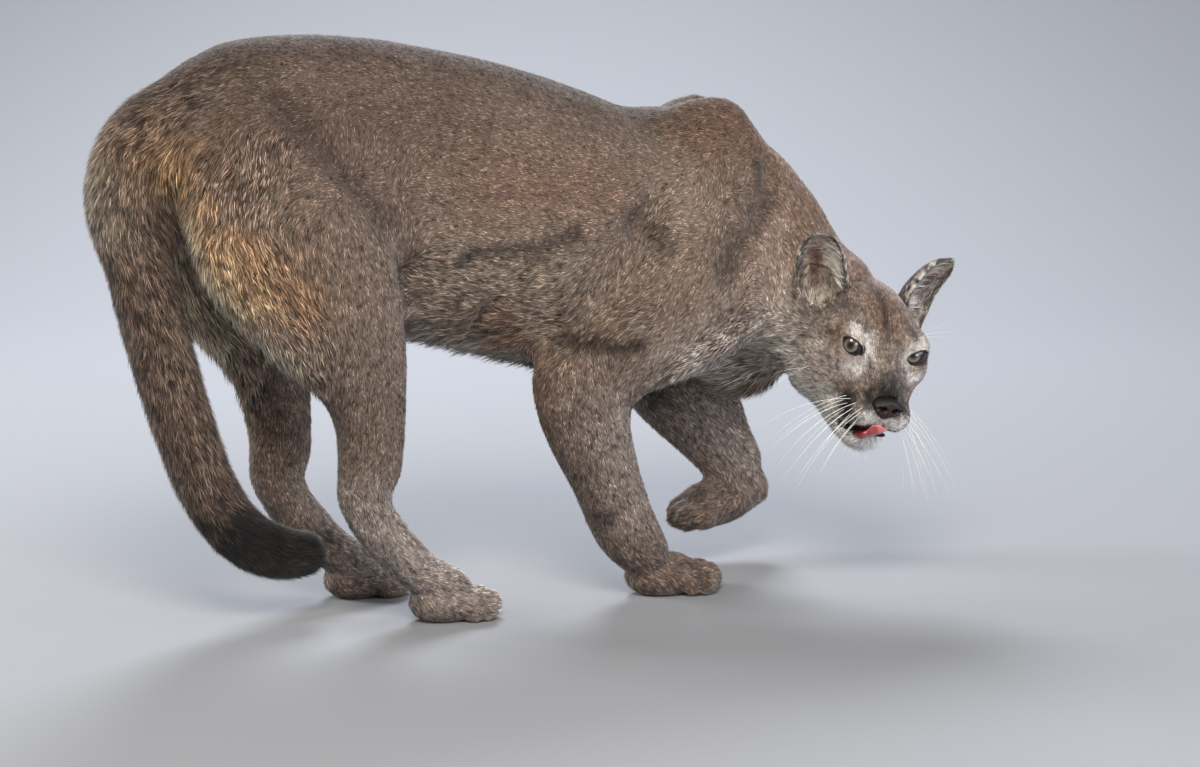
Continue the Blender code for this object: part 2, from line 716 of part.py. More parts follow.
def parted(skin):
    """Cut the flesh with all thin cuts and sort the pieces by their middles."""
    for cut in thin_cuts():
        boolean(skin, cut)
        drop(cut)
    nodes = {}
    for group in shells(skin)[:len(MIDDLES)]:
        points = np.array([skin.data.vertices[i].co for i in group])
        middle = (points.min(axis=0) + points.max(axis=0)) / 2
        name = min(MIDDLES, key=lambda n: np.linalg.norm(middle - MIDDLES[n]))
        piece = skin.copy()
        piece.data = skin.data.copy()
        bpy.context.scene.collection.objects.link(piece)
        keep_only(piece, group)
        nodes[name] = piece
    drop(skin)
    return nodes


def centred(pieces):
    """Bring the middle of the whole over the origin, its soles on z = 0."""
    points = []
    for piece in pieces:
        points += [np.array(v.co) for v in piece.data.vertices]
    low = np.min(points, axis=0)
    high = np.max(points, axis=0)
    away = Vector(((low[0] + high[0]) / 2, (low[1] + high[1]) / 2, low[2]))
    for piece in pieces:
        piece.data.transform(Matrix.Translation(-away))


def main():
    clear_scene()
    skin = thinned(flesh())
    floor = box("floor", (-1.0, -0.6, -0.2), (0.8, 0.6, 0.0))
    boolean(skin, floor)
    drop(floor)
    nodes = parted(skin)
    head = nodes["head"]
    for side, name in ((-1, "right"), (1, "left")):
        cup = placed(ear(side))
        for host in (head, nodes["neck"]):
            hollow = placed(ear_hollow(side))
            boolean(host, hollow)
            drop(hollow)
            room = swollen(host, GAP)
            boolean(cup, room)
            drop(room)
        nodes["ear_" + name] = cup
    for tool in [placed(mouth_cut())] + [placed(lid_opening(side)) for side in (-1, 1)]:
        boolean(head, tool)
        drop(tool)
    for side, name in ((-1, "right"), (1, "left")):
        eye = placed(ball("eye", eye_centre(side), (EYE_RADIUS,) * 3))
        seat(head, eye)
        nodes["eye_" + name] = eye
    nodes["tongue"] = placed(tongue())
    seat(head, nodes["tongue"])
    nodes["nose"] = placed(nose_pad())
    seat(head, nodes["nose"])
    for name, piece in nodes.items():
        finish(name, piece)
    centred(list(nodes.values()))


main()
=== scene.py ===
"""A life-size cougar for Blender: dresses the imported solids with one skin, a coat of short
tufts, eyes with lids, furred ears, nose leather, lips, tongue and whiskers, and sets it on a
pale studio floor."""

import math

import bpy
import numpy as np
from bpy.props import FloatProperty, FloatVectorProperty, IntProperty, PointerProperty
from mathutils import Matrix, Vector
from mathutils.bvhtree import BVHTree


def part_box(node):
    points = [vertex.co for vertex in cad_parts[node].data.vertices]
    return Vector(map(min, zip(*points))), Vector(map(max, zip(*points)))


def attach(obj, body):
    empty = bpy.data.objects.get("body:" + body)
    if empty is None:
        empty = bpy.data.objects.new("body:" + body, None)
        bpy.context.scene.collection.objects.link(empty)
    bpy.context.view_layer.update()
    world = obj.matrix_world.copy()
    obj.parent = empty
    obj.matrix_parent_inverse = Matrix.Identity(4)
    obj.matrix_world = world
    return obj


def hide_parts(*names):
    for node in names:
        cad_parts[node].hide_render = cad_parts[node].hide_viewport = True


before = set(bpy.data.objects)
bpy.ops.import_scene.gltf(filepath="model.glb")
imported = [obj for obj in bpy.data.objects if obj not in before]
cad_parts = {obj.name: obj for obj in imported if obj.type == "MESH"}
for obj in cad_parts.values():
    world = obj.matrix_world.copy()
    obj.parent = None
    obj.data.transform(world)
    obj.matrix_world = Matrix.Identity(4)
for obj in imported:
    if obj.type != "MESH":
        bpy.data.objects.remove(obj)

bl_info = {
    "name": "Cougar",
    "version": (1, 0, 0),
    "blender": (4, 5, 0),
    "location": "3D View > Sidebar > Cougar",
    "description": "Skin, coat, face and stage for a life-size cougar",
    "category": "Object",
}

SIDES = {"right": -1, "left": 1}
LEGS = ("shank", "hind_foot", "foreleg", "forefoot")
FLESH = ["head", "neck", "chest", "hindquarters", "tail_root", "tail_middle", "tail_tip"]
FLESH += [f"{part}_{side}" for part in LEGS for side in SIDES]
MM = 0.001


def linear(code):
    """An sRGB hex colour as linear red, green and blue."""
    values = [int(code[k:k + 2], 16) / 255 for k in (1, 3, 5)]
    return tuple(v / 12.92 if v <= 0.04045 else ((v + 0.055) / 1.055) ** 2.4
                 for v in values)


# ---------------------------------------------------------------- what a user may change
def shade(name, description, code):
    """A colour property with that sRGB default."""
    return FloatVectorProperty(name=name, description=description, subtype="COLOR",
                               default=linear(code), min=0.0, max=1.0)


class CougarSizes(bpy.types.PropertyGroup):
    """Sizes of the skin, the coat and the face."""
    skin_grid: FloatProperty(name="Skin grid", unit="LENGTH", default=0.0019,
                             description="Grid on which the flesh is fused into one skin")
    skin_triangles: IntProperty(name="Skin triangles", default=150000, min=20000,
                                description="Triangles left in the skin")
    coat_triangles: IntProperty(name="Coat triangles", default=1400000, min=20000,
                                description="Triangles of the body's coat in all")
    hair_length: FloatProperty(name="Hair length", subtype="FACTOR", default=1.0, min=0.2,
                               description="Times the length that each region has")
    hair_width: FloatProperty(name="Tuft width", subtype="FACTOR", default=1.0, min=0.2,
                              description="Times the width that each region has")
    eyeball: FloatProperty(name="Eyeball", unit="LENGTH", default=0.0175,
                           description="Radius of an eyeball")
    iris: FloatProperty(name="Iris", unit="LENGTH", default=0.0084,
                        description="Radius of the coloured ring of the eye")
    pupil: FloatProperty(name="Pupil", unit="LENGTH", default=0.0033,
                         description="Radius of the round pupil")
    lid_edge: FloatProperty(name="Lid edge", unit="LENGTH", default=0.0010,
                            description="Height of the lid's wet edge over the eyeball")
    whisker: FloatProperty(name="Whisker", unit="LENGTH", default=0.00028,
                           description="Radius of a whisker at its root")


class CougarColours(bpy.types.PropertyGroup):
    """Colours of the coat's ground and hair tips, and of the bare parts."""
    ground: shade("Coat", "Ground colour of the coat", "#877264")
    pale_tip: shade("Pale tips", "Tips of the pale guard hairs", "#dccbb6")
    dark_tip: shade("Dark tips", "Tips of the dark guard hairs", "#2b201a")
    iris_outer: shade("Iris", "Pale grey-gold outer part of the iris", "#8a8072")
    iris_inner: shade("Iris middle", "Iris beside the pupil", "#4d4136")
    eye_corner: shade("Eye corner", "Dark conjunctiva round the iris", "#1c1210")
    lid: shade("Lid edge", "Bare skin of the lids and lips", "#0b0807")
    leather: shade("Nose leather", "Bare skin of the nose", "#1c1312")
    philtrum: shade("Philtrum", "Redder skin in the middle of the nose", "#40241f")
    tongue: shade("Tongue", "Wet flesh of the tongue", "#8e3438")
    # painted highlight: the tongue's rim is painted paler, as where it catches the light
    tongue_rim_highlight: shade("Tongue rim", "Paler edge of the tongue", "#b86a68")
    whisker: shade("Whiskers", "White whiskers", "#f4f2ec")
    paper: shade("Backdrop", "Pale paper of the studio floor", "#8d8f93")


def sizes():
    """The sizes that a user may change."""
    return bpy.context.scene.cougar_sizes


def colour(name):
    """One of the colours that a user may change, linear."""
    return np.array(getattr(bpy.context.scene.cougar_colours, name)[:])


# ---------------------------------------------------------------- axes of the cat
def middle(node):
    """The middle of a CAD node's box."""
    low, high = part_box(node)
    return (low + high) / 2


# The head's own axes: +X forwards out of the face, +Y to the cat's left, +Z up.
HEAD_TURN = (Matrix.Rotation(math.radians(-94.7), 3, "Z")
             @ Matrix.Rotation(math.radians(20.8), 3, "Y")
             @ Matrix.Rotation(math.radians(-13.9), 3, "X"))
EYE_BACK, EYE_OUT = -0.0032, 0.0435        # an eyeball's middle, forwards and aside
BETWEEN_EYES = (middle("eye_left") + middle("eye_right")) / 2
HEAD_AT = BETWEEN_EYES - HEAD_TURN @ Vector((EYE_BACK, 0, 0))
TURN = np.array(HEAD_TURN)
# The stance's own origin: under the middle of the trunk, where its sides mirror.
STANCE_AT = HEAD_AT - Vector((0.268, -0.212, 0.298))
SKULL = np.array([-0.03, 0, -0.03])         # the skull's middle, on the head's axes


def from_head(points):
    """Points on the head's axes, taken to the frame's."""
    return np.asarray(points, float) @ TURN.T + np.array(HEAD_AT)


def to_head(points):
    """Points of the frame, taken to the head's axes."""
    return (np.asarray(points, float) - np.array(HEAD_AT)) @ TURN


def from_stance(points):
    """Points on the stance's axes, taken to the frame's."""
    return np.asarray(points, float) + np.array(STANCE_AT)


def to_stance(points):
    """Points of the frame, taken to the stance's axes."""
    return np.asarray(points, float) - np.array(STANCE_AT)


def in_metres(rows):
    """Rows of a plan, their runs taken from millimetres to metres."""
    return [(*row[:-1], [tuple(round(v / 1000, 6) for v in point) for point in row[-1]])
            for row in rows]


# ---------------------------------------------------------------- plans of coat and skin
# The lines of the plans are on the axes "head" or "stance" above, or on "ground": the
# stance seen from above, where only the feet lie near a line. Lengths are in millimetres.
#
# The coat's lie. Each line: the piece of the coat it belongs to, which axes its points are
# on, whether it is mirrored (-1: on the right side only), the radius about it where the
# skin is, the hair's length, spacing and width, how far it stands off in degrees, and the
# way it runs, from root to tip.
LIE = in_metres([
    # face: bridge, brows, cheeks, whisker pads, lips and chin
    ("face", "head", 0, 0, 2.6, 0.92, 0.5, 15, [(52, 0, -36), (30, 0, -12), (8.6, 0, 17)]),
    ("face", "head", 1, 0, 2.6, 0.92, 0.5, 15, [(48, 17, -42), (26, 22, -18), (10, 26, 6),
     (0, 30, 20)]),
    ("face", "head", 1, 0, 3.0, 0.95, 0.52, 14, [(36, 33, -46), (20, 44, -26), (6, 62, -16),
     (-12, 74, -8)]),
    ("face", "head", 1, 0, 3.8, 1.0, 0.55, 16, [(53, 16, -64), (44, 34, -66), (22, 44, -68),
     (-6, 60, -60)]),
    ("face", "head", 1, 0, 4.6, 1.05, 0.6, 20, [(52, 12, -76), (36, 34, -84), (8, 42, -86),
     (-20, 52, -84)]),
    ("face", "head", 1, 0, 7.5, 1.2, 0.65, 26, [(50, 6, -104), (38, 20, -112), (10, 32, -112),
     (-30, 44, -108)]),
    ("face", "head", 0, 0, 8.5, 1.2, 0.65, 32, [(54, 0, -98), (50, 0, -114), (26, 0, -122),
     (-20, 0, -120)]),
    ("face", "head", 1, 0, 3.0, 0.95, 0.5, 13, [(6, 40, 16), (-8, 50, 26), (-34, 58, 36)]),
    ("face", "head", 1, 0, 3.0, 0.95, 0.5, 13, [(10, 22, 12), (-10, 26, 32), (-42, 28, 47)]),
    ("face", "head", 1, 0, 3.6, 1.0, 0.55, 13, [(-2, 66, 6), (-20, 74, 10), (-44, 74, 18)]),
    # crown, cheeks and underside of the jaw
    ("crown", "head", 0, 0, 4.8, 1.2, 0.66, 14, [(4, 0, 22), (-46, 0, 50), (-90, 0, 56),
     (-140, 0, 52)]),
    ("crown", "head", 1, 0, 4.6, 1.2, 0.66, 14, [(-40, 34, 44), (-75, 40, 50), (-120, 42, 46)]),
    ("crown", "head", 1, 0, 6.0, 1.3, 0.74, 15, [(-10, 76, -20), (-40, 83, -26), (-85, 82, -34),
     (-120, 80, -40)]),
    ("crown", "head", 1, 0, 7.5, 1.4, 0.8, 17, [(-10, 58, -70), (-45, 68, -80),
     (-90, 70, -90)]),
    ("crown", "head", 0, 0, 13.0, 1.8, 1.0, 22, [(-20, 0, -122), (-60, 0, -118),
     (-100, 0, -120)]),
    ("crown", "head", 1, 0, 5.5, 1.35, 0.76, 13, [(-50, 78, 10), (-90, 80, 2), (-120, 78, -6)]),
    # neck and throat
    ("neck", "stance", 0, 0, 5.6, 1.8, 0.85, 13, [(262, -112, 425), (225, -80, 470),
     (185, -40, 515), (130, 0, 560)]),
    ("neck", "stance", 0, 0, 5.8, 1.8, 0.85, 13, [(200, -160, 350), (185, -140, 400),
     (150, -130, 440), (115, -125, 470)]),
    ("neck", "stance", 0, 0, 5.8, 1.8, 0.85, 13, [(320, -80, 330), (290, -30, 370),
     (240, 50, 420), (200, 90, 430)]),
    ("neck", "stance", 0, 0, 19.0, 2.1, 1.2, 24, [(235, -130, 220), (200, -100, 235),
     (165, -60, 240), (110, -20, 235)]),
    ("neck", "stance", 0, 0, 16.0, 2.1, 1.15, 20, [(200, -140, 290), (165, -130, 290),
     (110, -140, 296), (50, -150, 290)]),
    # trunk: back, flanks, brisket and belly
    ("trunk", "stance", 0, 0, 5.2, 1.9, 0.9, 13, [(150, 0, 553), (80, 0, 574), (0, 0, 590),
     (-90, 0, 618), (-180, 0, 647), (-270, 0, 667), (-350, 0, 677), (-430, 0, 682),
     (-500, 0, 672), (-545, 0, 640), (-590, 0, 600)]),
    ("trunk", "stance", 1, 0, 5.2, 1.9, 0.9, 12, [(120, 90, 540), (40, 90, 550), (-80, 90, 575),
     (-220, 95, 605), (-360, 95, 630), (-460, 95, 620), (-530, 80, 580)]),
    ("trunk", "stance", 1, 0, 5.6, 1.9, 0.9, 12, [(80, 140, 450), (0, 125, 455),
     (-110, 122, 470), (-230, 122, 490), (-330, 124, 515), (-410, 128, 520)]),
    ("trunk", "stance", 1, 0, 12.5, 2.1, 1.05, 17, [(40, 110, 330), (-100, 100, 340),
     (-200, 95, 365), (-290, 95, 400)]),
    ("trunk", "stance", 0, 0, 23.0, 2.3, 1.3, 24, [(150, 0, 248), (40, 0, 244), (-90, 0, 274),
     (-200, 0, 300), (-300, 0, 332), (-400, 0, 372)]),
    # thighs, shanks and hind feet
    ("hind", "stance", 1, 0, 6.0, 1.9, 0.9, 12, [(-380, 124, 600), (-385, 140, 500),
     (-375, 150, 420), (-365, 140, 340), (-365, 124, 270)]),
    ("hind", "stance", 1, 0, 6.0, 1.9, 0.9, 12, [(-320, 118, 520), (-325, 130, 430),
     (-325, 130, 350), (-318, 110, 260)]),
    ("hind", "stance", 1, 0, 14.0, 2.0, 1.05, 19, [(-500, 110, 560), (-520, 120, 470),
     (-490, 130, 400), (-440, 125, 320), (-400, 110, 250)]),
    ("hind", "stance", 1, 0, 22.0, 2.2, 1.25, 22, [(-560, 50, 540), (-540, 60, 450),
     (-500, 70, 380), (-450, 80, 310), (-400, 85, 240)]),
    ("hind", "stance", 1, 0, 16.0, 2.1, 1.15, 18, [(-420, 40, 440), (-410, 55, 370),
     (-370, 65, 300), (-350, 70, 230)]),
    ("hind", "stance", 1, 40, 6.0, 1.8, 0.9, 14, [(-362, 94, 260), (-362, 90, 214),
     (-372, 86, 174), (-356, 86, 122)]),
    ("hind", "stance", 1, 30, 5.5, 1.5, 0.85, 14, [(-366, 86, 150), (-340, 86, 105),
     (-300, 84, 60), (-250, 83, 36), (-190, 83, 20)]),
    # right shoulder, foreleg and forefoot
    ("fore", "stance", -1, 0, 5.6, 1.9, 0.9, 12, [(110, 100, 530), (100, 130, 470),
     (80, 155, 400), (20, 160, 330), (-50, 145, 270)]),
    ("fore", "stance", -1, 0, 7.5, 2.0, 0.95, 15, [(20, 120, 470), (-30, 124, 410),
     (-80, 122, 350), (-120, 110, 280), (-130, 98, 240)]),
    ("fore", "stance", -1, 40, 6.0, 1.7, 0.9, 14, [(-82, 96, 260), (-61, 92, 200),
     (-40, 87, 154), (-16, 81, 104)]),
    ("fore", "stance", -1, 34, 5.5, 1.5, 0.85, 14, [(-20, 82, 110), (10, 77, 66), (50, 75, 44),
     (110, 72, 18)]),
    # left shoulder and the lifted foreleg
    ("lifted", "stance", 0, 0, 6.0, 1.9, 0.9, 12, [(150, 100, 530), (175, 130, 460),
     (180, 150, 390), (160, 154, 320), (130, 140, 270)]),
    ("lifted", "stance", 0, 44, 7.0, 1.8, 0.92, 15, [(120, 96, 270), (150, 91, 222),
     (180, 86, 185), (215, 80, 142), (244, 75, 106)]),
    ("lifted", "stance", 0, 30, 6.5, 1.6, 0.9, 16, [(240, 74, 104), (215, 71, 80),
     (180, 68, 70), (140, 66, 58)]),
    # tail
    ("tail", "stance", 0, 44, 12.0, 1.9, 1.1, 17, [(-560, 0, 585), (-592, 0, 560),
     (-606, 0, 520), (-604, 0, 470), (-588, 0, 430), (-572, 0, 360), (-553, 0, 290),
     (-531, 0, 220), (-510, 0, 165), (-475, 0, 112), (-425, 2, 80), (-350, 4, 74)]),
])
DEPTH_SHARE = 0.26          # of the hair's length: how deep the skin lies in the solids
LONG_HAIR = 13.5            # hair longer than this bends
# From here on in metres: the top of the feet, how softly one line of the lie passes into
# the next, and how far from the skull's middle the head's lines give way.
FOOT_TOP, SOFT_MEETING, HEAD_REACH = 0.070, 0.006, 0.125

# The paws that show: middle, the way that the toes point in degrees, and their reach.
PAWS = [((0.058, -0.074), -32, 0.066), ((-0.238, -0.084), -26, 0.062),
        ((-0.274, 0.082), -8, 0.062)]


def between_toes(paw):
    """The three runs between a paw's toes, seen from above."""
    at, heading, reach = paw
    runs = []
    for turn in (-36, -2, 32):
        angle = math.radians(heading + turn)
        way = np.array([math.cos(angle), math.sin(angle)])
        near, far = np.array(at) + way * reach * 0.34, np.array(at) + way * reach * 1.1
        runs.append([(float(x), float(y), 0.0) for x, y in (near, far)])
    return runs


# Folds of the skin: axes, mirrored or not, half width and depth in millimetres, their run.
FOLDS = in_metres([
    # groin and shoulder blade
    ("stance", 1, 20, 9, [(-457, 96, 617), (-407, 126, 555), (-345, 128, 475),
     (-305, 115, 410)]),
    ("stance", 1, 26, 9, [(-292, 110, 400), (-285, 100, 370)]),
    ("stance", 1, 19, -8, [(-85, 124, 440), (-45, 120, 465), (-4, 112, 490)]),
    ("stance", 1, 22, 11, [(-7, 121, 447), (6, 118, 470)]),
    ("stance", 1, 15, 9, [(181, 93, 506), (146, 129, 451), (110, 145, 415), (87, 153, 394)]),
    # wrinkles of rump, elbow and wrist
    ("stance", 1, 6, 3, [(-544, 90, 576), (-522, 110, 562), (-505, 123, 544)]),
    ("stance", 1, 5, 3, [(-140, 110, 372), (-110, 120, 380)]),
    ("stance", 1, 5, 3, [(-138, 106, 352), (-108, 118, 356)]),
    ("stance", 1, 6, 3, [(-105, 105, 325), (-60, 140, 310), (-32, 151, 307)]),
    ("stance", -1, 6, 3, [(-68, 80, 108), (-58, 104, 104), (-40, 116, 106)]),
    # hollows and creases of shoulder, ribs and arm
    ("stance", 1, 14, 8, [(-13, 119, 456), (1, 122, 444), (13, 125, 432)]),
    ("stance", 1, 7, 4, [(-230, 117, 423), (-194, 121, 431), (-147, 124, 428),
     (-98, 125, 448)]),
    ("stance", 1, 4, 3, [(-165, 118, 398), (-150, 122, 410), (-137, 124, 417)]),
    ("stance", 1, 4, 3, [(-148, 118, 392), (-132, 122, 402), (-118, 124, 409)]),
    ("stance", 1, 4, 3, [(-150, 104, 352), (-126, 102, 344), (-107, 104, 333)]),
    ("stance", -1, 9, 6, [(-203, 65, 328), (-202, 87, 348), (-190, 102, 367)]),
])
FOLDS += [("ground", 0, 3.6, 5.0, run) for paw in PAWS for run in between_toes(paw)]

# The coat's markings, with painted shade and painted light among them.
# Each line: axes, mirrored or not, half width in millimetres, strength, colour, their run.
MARKS_AND_PAINTED_LIGHT = in_metres([
    # dark back, paler flanks, belly and neck
    ("stance", 0, 72, 0.9, "#47362b", [(160, 0, 560), (0, 0, 595), (-180, 0, 650),
     (-430, 0, 685), (-560, 0, 640)]),
    ("stance", 1, 62, 0.6, "#624d40", [(-510, 80, 600), (-400, 110, 590), (-250, 110, 590)]),
    ("stance", 1, 46, 0.45, "#8a6350", [(-60, 120, 500), (-200, 120, 500)]),
    ("stance", 1, 60, 0.6, "#a39280", [(-130, 120, 400), (-250, 115, 400)]),
    ("stance", 0, 64, 0.9, "#d6ccbd", [(100, 0, 236), (-100, 0, 270), (-300, 0, 326),
     (-420, 0, 376)]),
    ("stance", 1, 55, 0.55, "#a08d7b", [(60, 130, 480), (30, 130, 430)]),
    ("stance", 0, 95, 0.75, "#ac9484", [(190, -135, 400), (215, -150, 340), (150, -130, 440)]),
    ("stance", 0, 50, 0.65, "#82604d", [(240, -110, 440), (180, -40, 520)]),
    ("stance", 0, 46, 0.65, "#76543f", [(165, -60, 545), (110, -80, 550)]),
    ("stance", 0, 44, 0.55, "#8d7f72", [(50, -150, 290), (130, -120, 260), (190, -100, 250)]),
    # ochre and cream backs of the thighs; painted shade in the groin and knee creases
    ("stance", 1, 36, 0.8, "#c09565", [(-577, 60, 544), (-560, 95, 470), (-520, 122, 400)]),
    ("stance", 1, 34, 0.9, "#d9c7ab", [(-560, 60, 470), (-520, 90, 390), (-470, 100, 320)]),
    ("stance", 1, 34, 0.6, "#a97f57", [(-500, 135, 450), (-450, 145, 390)]),
    ("stance", 1, 22, 0.7, "#46372e", [(-457, 96, 617), (-407, 126, 555), (-345, 128, 475)]),
    ("stance", 1, 22, 0.7, "#42362e", [(-305, 113, 415), (-290, 110, 380)]),
    # forelegs and feet
    ("stance", -1, 24, 0.7, "#a06f49", [(-154, 66, 314), (-130, 80, 260), (-110, 70, 200)]),
    ("stance", -1, 46, 0.65, "#ab9c90", [(-50, 130, 220), (-10, 120, 110)]),
    ("stance", -1, 30, 0.5, "#6b5950", [(0, 100, 60), (80, 90, 34)]),
    # painted shade in the crease of the right wrist
    ("stance", -1, 12, 0.75, "#2f2622", [(-68, 85, 106), (-45, 112, 104)]),
    # painted shadow, near black, on the top of the lifted foreleg under the chest
    ("stance", 0, 34, 0.88, "#171312", [(110, 60, 215), (130, 96, 232), (160, 120, 240)]),
    ("stance", 0, 42, 0.75, "#aea096", [(190, 60, 170), (235, 60, 120)]),
    ("stance", 0, 34, 0.7, "#544841", [(230, 72, 85), (150, 66, 60)]),
    ("stance", 1, 50, 0.8, "#b9aea5", [(-345, 86, 130), (-300, 84, 70), (-200, 84, 36)]),
    # tail
    ("stance", 0, 60, 0.75, "#6b5342", [(-606, 0, 520), (-588, 0, 430), (-553, 0, 290),
     (-500, 0, 150)]),
    ("stance", 0, 30, 0.6, "#c9bba6", [(-650, -10, 520), (-640, -10, 470)]),
    # painted shade in the hollows and creases of shoulder, ribs, elbow and arm
    ("stance", 1, 18, 0.8, "#32271f", [(-13, 119, 456), (1, 122, 444), (13, 125, 432)]),
    ("stance", 1, 34, 0.45, "#54463b", [(120, 110, 490), (110, 130, 450), (80, 140, 420)]),
    ("stance", 1, 15, 0.85, "#2f251e", [(163, 100, 513), (165, 116, 476), (140, 132, 444),
     (100, 148, 407), (87, 153, 391)]),
    ("stance", 1, 11, 0.75, "#352a22", [(-230, 117, 423), (-194, 121, 431), (-147, 124, 428),
     (-98, 125, 448)]),
    ("stance", 1, 3.6, 0.65, "#2d241d", [(-165, 118, 398), (-150, 122, 410), (-137, 124, 417)]),
    ("stance", 1, 3.6, 0.65, "#2d241d", [(-148, 118, 392), (-132, 122, 402), (-118, 124, 409)]),
    ("stance", 1, 4.0, 0.7, "#2d241d", [(-150, 104, 352), (-126, 102, 344), (-107, 104, 333)]),
    ("stance", 1, 11, 0.82, "#281f19", [(-105, 108, 322), (-79, 133, 319), (-50, 146, 310),
     (-28, 152, 318)]),
    ("stance", -1, 10, 0.65, "#33291f", [(-203, 65, 328), (-202, 87, 348), (-190, 102, 367)]),
    # rusty elbow; pale throat, with painted light on its shaded underside
    ("stance", -1, 22, 0.55, "#9c6f52", [(-175, 90, 345), (-160, 90, 310), (-145, 85, 260)]),
    ("stance", 0, 50, 0.85, "#d6cabd", [(150, -76, 288), (138, -50, 267), (62, -135, 278)]),
    ("stance", 0, 44, 0.8, "#cfc2b5", [(180, -144, 319), (174, -118, 292), (154, -117, 305)]),
    # head: ground, cheeks, crown and the bases of the ears
    ("head", 0, 66, 0.92, "#b1a399", [(0, 0, -50), (-50, 0, -30)]),
    ("head", 1, 30, 0.8, "#bdb0a6", [(-10, 70, -30), (-60, 80, -40)]),
    ("head", 1, 24, 0.85, "#efe9e2", [(-4, 52, -74), (-32, 66, -86), (-60, 82, -60)]),
    ("head", 0, 34, 0.85, "#84624f", [(-45, 0, 50), (-110, 0, 56)]),
    ("head", 0, 24, 0.7, "#6a564a", [(0, 0, 24), (-34, 0, 46)]),
    ("head", 1, 22, 0.75, "#5d5550", [(-40, 56, 36), (-56, 70, 20), (-70, 78, 2)]),
    # brows, forehead stripe, bridge and round the eyes
    ("head", 1, 12, 0.5, "#94755f", [(0, 14, 22), (-28, 16, 44)]),
    ("head", 1, 9, 0.85, "#f0eae2", [(2, 52, 19), (8, 36, 16)]),
    ("head", 0, 9, 0.5, "#4b3226", [(-90, -4, 56), (-21.5, -6, 41.6), (0, -6, 23)]),
    ("head", 0, 3.0, 0.72, "#1d120e", [(-50, -6, 52), (-21.5, -6.8, 41.6), (12, -5.8, 12.6)]),
    # painted shadow along the right side of the bridge
    ("head", 0, 2.4, 0.6, "#3a302c", [(13.5, -4.5, 10), (28, -3, -8)]),
    ("head", 1, 4.2, 0.92, "#241d1a", [(-12, 33, 34), (3, 36, 22)]),
    ("head", 1, 7.0, 0.97, "#fffaf2", [(11.5, 31, 6), (17.5, 25.5, -7)]),
    ("head", 1, 7.5, 0.75, "#ece6de", [(23, 39, -20), (18.5, 55, -21)]),
    ("head", 1, 6.0, 0.4, "#8e5a38", [(-4, 68, 4), (-20, 75, 4)]),
    ("head", 1, 3.0, 0.6, "#45301f", [(-6, 65, 10), (-22, 75, -2), (-36, 82, -18)]),
    # muzzle: bridge, dark top and cleft beside the nose
    ("head", 0, 12, 0.6, "#97897e", [(14, -2, 8), (30, -2, -14)]),
    ("head", 1, 8, 0.5, "#8f6a50", [(34, 34, -44), (22, 44, -48)]),
    ("head", 0, 14, 0.8, "#4f4844", [(40, -2, -18), (47, -2, -28)]),
    ("head", 0, 15, 0.95, "#100d0c", [(48, -10, -31), (48, 10, -33)]),
    ("head", 1, 3.2, 0.75, "#2f2622", [(14.5, 24.5, -7), (26, 23.5, -22), (40, 22, -36)]),
    ("head", 1, 9, 1.0, "#0b0807", [(45, 25, -41), (54.5, 25.5, -52)]),
    # white lips, jaw and chin
    ("head", 1, 10, 1.0, "#faf6ee", [(53.5, 36.5, -73.5), (57.5, 27, -68), (59, 12, -68)]),
    ("head", 1, 16, 0.95, "#f2ece2", [(18, 45, -82), (-10, 47, -92), (-34, 54, -96)]),
    ("head", 0, 24, 1.0, "#f6f0e6", [(46, 0, -110), (10, 0, -118)]),
    ("head", 0, 8, 0.6, "#9a7a66", [(50, 0, -104), (46, 0, -113)]),
    ("head", 1, 18, 0.97, "#f4eee4", [(36, 22, -110), (4, 38, -104)]),
    ("head", 1, 20, 1.0, "#fbf7f0", [(44, 14, -104), (10, 40, -97), (-18, 50, -93)]),
    # black patch at the whisker pad, painted shade along the ear's fold, and line of the mouth
    ("head", 1, 13, 1.0, "#070504", [(34, 46, -52), (38, 46.5, -63), (47, 43, -72.5)]),
    ("head", 1, 11, 1.0, "#070504", [(36, 46, -56), (40, 46, -66)]),
    ("head", 1, 3.2, 0.85, "#2a2421", [(-90, 98, 50), (-78.6, 96.9, 21.7), (-72.7, 95.2, 11)]),
    ("head", 1, 3.4, 1.0, "#0a0706", [(18, 37, -96), (42, 27, -93), (56, 12, -88),
     (58, 0, -87)]),
])
TAIL_TIP = ("stance", 0, 42, 1.0, "#0b0908", [(-470, -10, 110), (-425, 0, 83), (-350, 4, 74)])
MARKS_AND_PAINTED_LIGHT += in_metres([TAIL_TIP] * 3)          # three times over, so that its edge is short
# painted shade in the creases between the toes
MARKS_AND_PAINTED_LIGHT += [("ground", 0, 2.6, 0.8, "#241c19", run) for paw in PAWS for run in between_toes(paw)]


# ---------------------------------------------------------------- small helpers
def deselect():
    """Leave nothing selected."""
    for piece in bpy.context.selected_objects:
        piece.select_set(False)


def activate(*pieces):
    """Select these pieces alone, the first of them active."""
    deselect()
    for piece in pieces:
        piece.select_set(True)
    bpy.context.view_layer.objects.active = pieces[0]


def modify(piece, kind, **settings):
    """Add a modifier and apply it."""
    activate(piece)
    modifier = piece.modifiers.new(kind.lower(), kind)
    for key, value in settings.items():
        setattr(modifier, key, value)
    bpy.ops.object.modifier_apply(modifier=modifier.name)


